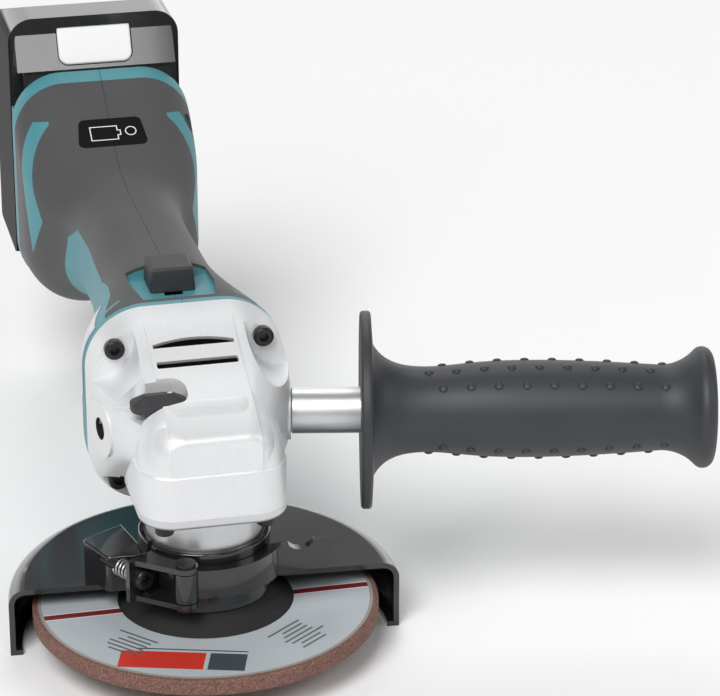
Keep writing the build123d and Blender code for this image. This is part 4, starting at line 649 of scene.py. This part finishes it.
roughen(tree, shader, height, depth=0.00005, strength=0.1)
cover(window, "indicator_panel")


# Side handle grip: moulded in dark grey plastic over its sleeve and stud, with rows of small nubs
# above and below the palm. The nubs are part of the moulding: low domes, staggered from row to row.
HANDLE_WAY = Vector((math.cos(TAP_CANT), -math.sin(TAP_CANT), 0))
HANDLE_AT = Vector((-TAP_AT.x, TAP_AT.y, TAP_AT.z))
GRIP_FROM = 0.0250
FIRST_NUB = 0.0294
NUB_PITCH = 0.0099
NUBS = 9
NUB_ROWS = (52, 82, 112, 141, -39, -69, -98, -128)
NUB_R = 0.0016
NUB_FLAT = 0.5
NUB_SEGMENTS = 14
NUB_RINGS = 8
CLEAR_OF_GRIP = 0.06
UPRIGHT = Vector((0, 0, 1))

grip_grey = plain_finish(
    "handle_grey", grain=1700.0,
    dark=(0.023, 0.025, 0.029, 1), pale=(0.040, 0.043, 0.048, 1), smooth=0.42, rough=0.6,
    depth=0.00014, strength=0.35,
)
cover(grip_grey, "handle_grip")

clear_selection()
bpy.ops.mesh.primitive_uv_sphere_add(segments=NUB_SEGMENTS, ring_count=NUB_RINGS, radius=NUB_R)
pattern = bpy.context.object
bpy.ops.object.mode_set(mode="EDIT")
bpy.ops.mesh.select_all(action="SELECT")
bpy.ops.transform.resize(value=(1, 1, NUB_FLAT), center_override=(0, 0, 0))
bpy.ops.object.mode_set(mode="OBJECT")
bpy.ops.object.shade_smooth()
grip_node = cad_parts["handle_grip"]
side = HANDLE_WAY.cross(UPRIGHT)
nubs = []
for row, degrees in enumerate(NUB_ROWS):
    turn = math.radians(degrees)
    out = side * math.cos(turn) + UPRIGHT * math.sin(turn)
    stagger = NUB_PITCH / 2 if row % 2 else 0
    for step in range(NUBS):
        along = GRIP_FROM + FIRST_NUB + NUB_PITCH * step - stagger
        start = HANDLE_AT + HANDLE_WAY * along + out * CLEAR_OF_GRIP
        _, at, normal, _ = grip_node.ray_cast(start, -out)
        nub = pattern.copy()
        nub.data = pattern.data.copy()
        lean = normal.to_track_quat("Z", "Y").to_matrix().to_4x4()
        nub.matrix_world = Matrix.Translation(at) @ lean
        scene.collection.objects.link(nub)
        nubs.append(nub)
bpy.data.objects.remove(pattern)
clear_selection()
for nub in nubs:
    nub.select_set(True)
bpy.context.view_layer.objects.active = nubs[0]
bpy.ops.object.join()
handle_nubs = bpy.context.object
handle_nubs.name = "handle_nubs"
settle(handle_nubs)
handle_nubs.data.materials.append(grip_grey)
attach(handle_nubs, "body")


# Battery cells and board: steel cans in grey shrink sleeves, held in two moulded frames, and a green
# glass-fibre laminate above them.
sleeve = plain_finish(
    "cell_sleeve", grain=700.0, stretch=(0.3, 1, 1),
    dark=(0.10, 0.16, 0.20, 1), pale=(0.16, 0.23, 0.27, 1), smooth=0.25, rough=0.4,
    depth=0.0001, strength=0.3,
)
cover(sleeve, "battery_cells")

laminate = plain_finish(
    "board_laminate", grain=800.0, stretch=(1, 1, 4),
    dark=(0.012, 0.11, 0.05, 1), pale=(0.03, 0.20, 0.09, 1), smooth=0.3, rough=0.5,
    depth=0.0001, strength=0.3,
)
cover(laminate, "battery_board")


# Battery case: two mouldings of gloss black nylon with faint flow lines, closed by two long screws.
# The flanks have the matt spark texture of the mould.
CASE_DARK = (0.008, 0.008, 0.009, 1)
CASE_PALE = (0.020, 0.020, 0.022, 1)
FLANK_FROM = 0.0338
FLANK_MATT = 0.4

gloss_nylon, tree, shader = new_finish("gloss_black_nylon")
height, tone = grained(tree, 240.0, (1, 1, 0.25))
x, _, _ = parted(tree, object_place(tree))
flank = calc(tree, "GREATER_THAN", calc(tree, "ABSOLUTE", x), FLANK_FROM)
gloss = spread(tree, tone, low=0.10, high=0.20)
feed(tree, shader.inputs["Base Color"], blend_colour(tree, tone, CASE_DARK, CASE_PALE))
feed(tree, shader.inputs["Roughness"], calc(tree, "MULTIPLY_ADD", flank, FLANK_MATT, gloss))
feed(tree, shader.inputs["Specular IOR Level"], spread(tree, flank, low=0.5, high=0.12))
feed(tree, shader.inputs["Coat Weight"], spread(tree, flank, low=0.6, high=0.0))
shader.inputs["Coat Roughness"].default_value = 0.06
roughen(tree, shader, height, depth=0.0002, strength=0.06)
cover(gloss_nylon, "battery_front", "battery_back")


# Battery release button: moulded in white plastic, lightly satin, and pushed out of the case by its
# spring.
white_nylon = plain_finish(
    "white_nylon", grain=1500.0,
    dark=(0.78, 0.78, 0.78, 1), pale=(0.88, 0.88, 0.87, 1), smooth=0.25, rough=0.4,
    depth=0.00008, strength=0.2,
)
cover(white_nylon, "latch_button")


# Screws: hardened steel, blacked and oiled, driven into the castings, the body halves and the
# battery. The clamp's screw and hinge pin are the same.
blacked = plain_finish(
    "blacked_steel", grain=1500.0,
    dark=(0.010, 0.010, 0.011, 1), pale=(0.035, 0.035, 0.037, 1), smooth=0.22, rough=0.4,
    depth=0.00006, strength=0.3, sockets={"Metallic": 0.35},
)
cover(
    blacked,
    "gear_housing_screws", "bearing_box_screws", "housing_screws", "battery_screws", "clamp_screw",
    "clamp_pin",
)


# Guard, collar and clamp: pressed sheet steel in gloss black powder coat, with its faint orange peel.
# The clamp's lever pulls the collar tight round the neck of the bearing box.
powder_coat = plain_finish(
    "black_powder_coat", grain=520.0,
    dark=(0.007, 0.007, 0.008, 1), pale=(0.016, 0.016, 0.018, 1), smooth=0.14, rough=0.26,
    depth=0.0002, strength=0.12, sockets={"Coat Weight": 0.7, "Coat Roughness": 0.08},
)
cover(powder_coat, "wheel_guard", "guard_collar", "clamp_anchor", "clamp_yoke", "clamp_lever")


# Clamp spring: a coil of steel wire on the tension screw, between the yoke and the anchor. It stands
# for the plain tube of the CAD model.
GUARD_TURN = -3.7
YOKE_TURN = 214.0
SPRING_TURN = math.radians(GUARD_TURN + YOKE_TURN)
SPRING_OUT = Vector((math.cos(SPRING_TURN), math.sin(SPRING_TURN), 0))
SPRING_WAY = Vector((math.sin(SPRING_TURN), -math.cos(SPRING_TURN), 0))
SPRING_REACH = 0.031
SPRING_Z = 0.0245
SPRING_L = 0.0110
SPRING_AT = SPRING_OUT * SPRING_REACH + Vector((0, 0, SPRING_Z))
WIRE_R = 0.00048
WIRE_SIDES = 10
COIL_R = 0.0028
COILS = 6
COIL_PITCH = (SPRING_L - 2 * WIRE_R) / COILS

coil = wind(
    "clamp_spring_coil", WIRE_SIDES, WIRE_R, COIL_R, COIL_PITCH, COILS, SPRING_AT, SPRING_WAY,
)
coil.data.materials.append(turned_steel)
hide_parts("clamp_spring")
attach(coil, "guard")


# Grinding wheel: brown aluminium-oxide grit in a resin bond, pressed round a black hub cone. Grains
# of less than half a millimetre show as pale and dark specks on its face and rim.
HUB_EDGE = 0.0322
HUB_DARK = (0.006, 0.006, 0.007, 1)
HUB_PALE = (0.018, 0.018, 0.019, 1)
BOND_DARK = (0.150, 0.070, 0.054, 1)
BOND_PALE = (0.215, 0.104, 0.082, 1)
GRIT_SCALE = 2600.0
GRIT_DARK = (0.105, 0.047, 0.037, 1)
GRIT_DARK_FROM = 0.78
GRIT_PALE = (0.27, 0.145, 0.115, 1)
GRIT_PALE_FROM = 0.80


def radius_from_axis(tree, place):
    flat = put(tree, "ShaderNodeVectorMath", operation="MULTIPLY")
    feed(tree, flat.inputs[0], place)
    flat.inputs[1].default_value = (1, 1, 0)
    reach = put(tree, "ShaderNodeVectorMath", operation="LENGTH")
    feed(tree, reach.inputs[0], flat.outputs[0])
    return reach.outputs["Value"]


grit, tree, shader = new_finish("brown_grit")
place = object_place(tree)
height, tone = grained(tree, 420.0)
cells = cellular(tree, place, GRIT_SCALE)
pale_draw, dark_draw = cell_draws(tree, cells)
pale = calc(tree, "GREATER_THAN", pale_draw, GRIT_PALE_FROM)
dark = calc(tree, "GREATER_THAN", dark_draw, GRIT_DARK_FROM)
in_hub = calc(tree, "LESS_THAN", radius_from_axis(tree, place), HUB_EDGE)
pressed = blend_colour(tree, tone, BOND_DARK, BOND_PALE)
pressed = blend_colour(tree, dark, pressed, GRIT_DARK)
pressed = blend_colour(tree, pale, pressed, GRIT_PALE)
hub_black = blend_colour(tree, tone, HUB_DARK, HUB_PALE)
feed(tree, shader.inputs["Base Color"], blend_colour(tree, in_hub, pressed, hub_black))
feed(tree, shader.inputs["Roughness"], spread(tree, tone, low=0.6, high=0.92))
lumps = calc(tree, "MULTIPLY_ADD", cells.outputs["Distance"], -1.0, height)
roughen(tree, shader, lumps, depth=0.0003, strength=0.55)
cover(grit, "grinding_wheel")


# Wheel label: a printed paper ring glued to the wheel while it is pressed, silver grey with a red
# block, a dark block, a chord stripe and rows of thin rules, each given by its middle, its half
# sizes and its ink. It stops short of the rim.
LABEL_Z = 0.0050
LABEL_IN = 0.0318
LABEL_OUT = 0.0605
LABEL_T = 0.00012
LABEL_SIDES = 160
LABEL_HEM = 0.0012
HEM_BROWN = (0.30, 0.27, 0.25, 1)
PAPER_DARK = (0.37, 0.41, 0.43, 1)
PAPER_PALE = (0.49, 0.53, 0.555, 1)
PRINT_DARK = (0.045, 0.058, 0.065, 1)
STRIPE_TURN = 0.0
STRIPE = (
    ((0.0, -0.0035), (0.07, 0.0022), (0.70, 0.72, 0.72, 1)),
    ((0.0, -0.0035), (0.07, 0.0017), (0.16, 0.012, 0.012, 1)),
)
PANEL_TURN = 17.0
PANEL = (
    ((-0.010, -0.0480), (0.0150, 0.0060), (0.55, 0.028, 0.015, 1)),
    ((0.013, -0.0480), (0.0065, 0.0060), PRINT_DARK),
    ((0.0, -0.0402), (0.0195, 0.0004), PRINT_DARK),
)
RULE_BLOCKS = ((-38.0, 7), (48.0, 6))
RULE_INK = (0.10, 0.115, 0.12, 1)
RULE_FROM = -0.0375
RULE_PITCH = 0.0024
RULE_SHIFT = 0.001
RULE_HALF = 0.0085
RULE_SHORTER = 0.0011
RULE_LINE = 0.00045


def printed(tree, place, colour, degrees, blocks):
    turned = put(tree, "ShaderNodeMapping")
    turned.inputs["Rotation"].default_value = (0, 0, math.radians(degrees))
    feed(tree, turned.inputs["Vector"], place)
    x, y, _ = parted(tree, turned.outputs["Vector"])
    for middle, half, ink in blocks:
        colour = blend_colour(tree, block(tree, x, y, middle, half), colour, ink)
    return colour


clear_selection()
label_middle = (0, 0, LABEL_Z + LABEL_T)
bpy.ops.mesh.primitive_circle_add(vertices=LABEL_SIDES, radius=LABEL_IN, location=label_middle)
label = bpy.context.object
label.name = "wheel_label"
bpy.ops.object.mode_set(mode="EDIT")
bpy.ops.mesh.select_all(action="SELECT")
bpy.ops.mesh.extrude_edges_move()
grow = LABEL_OUT / LABEL_IN
bpy.ops.transform.resize(value=(grow, grow, 1), center_override=label_middle)
bpy.ops.mesh.select_all(action="SELECT")
bpy.ops.mesh.normals_make_consistent(inside=False)
bpy.ops.object.mode_set(mode="OBJECT")
if label.data.polygons[0].normal.z < 0:
    label.data.flip_normals()
wall = label.modifiers.new("paper", "SOLIDIFY")
wall.thickness = LABEL_T
wall.offset = -1.0
bpy.ops.object.modifier_apply(modifier="paper")
settle(label)

paper, tree, shader = new_finish("label_paper")
place = object_place(tree)
height, tone = grained(tree, 900.0)
colour = blend_colour(tree, tone, PAPER_DARK, PAPER_PALE)
colour = printed(tree, place, colour, STRIPE_TURN, STRIPE)
colour = printed(tree, place, colour, PANEL_TURN, PANEL)
for degrees, rows in RULE_BLOCKS:
    rules = []
    for row in range(rows):
        middle = (RULE_SHIFT * ((row * 5) % 3 - 1), RULE_FROM - RULE_PITCH * row)
        half = (RULE_HALF - RULE_SHORTER * ((row * 7) % 4), RULE_LINE)
        rules.append((middle, half, RULE_INK))
    colour = printed(tree, place, colour, degrees, rules)
hem = calc(tree, "GREATER_THAN", radius_from_axis(tree, place), LABEL_OUT - LABEL_HEM)
feed(tree, shader.inputs["Base Color"], blend_colour(tree, hem, colour, HEM_BROWN))
feed(tree, shader.inputs["Roughness"], spread(tree, tone, low=0.45, high=0.7))
roughen(tree, shader, height, depth=0.00008, strength=0.35)
label.data.materials.append(paper)
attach(label, "spindle_set")
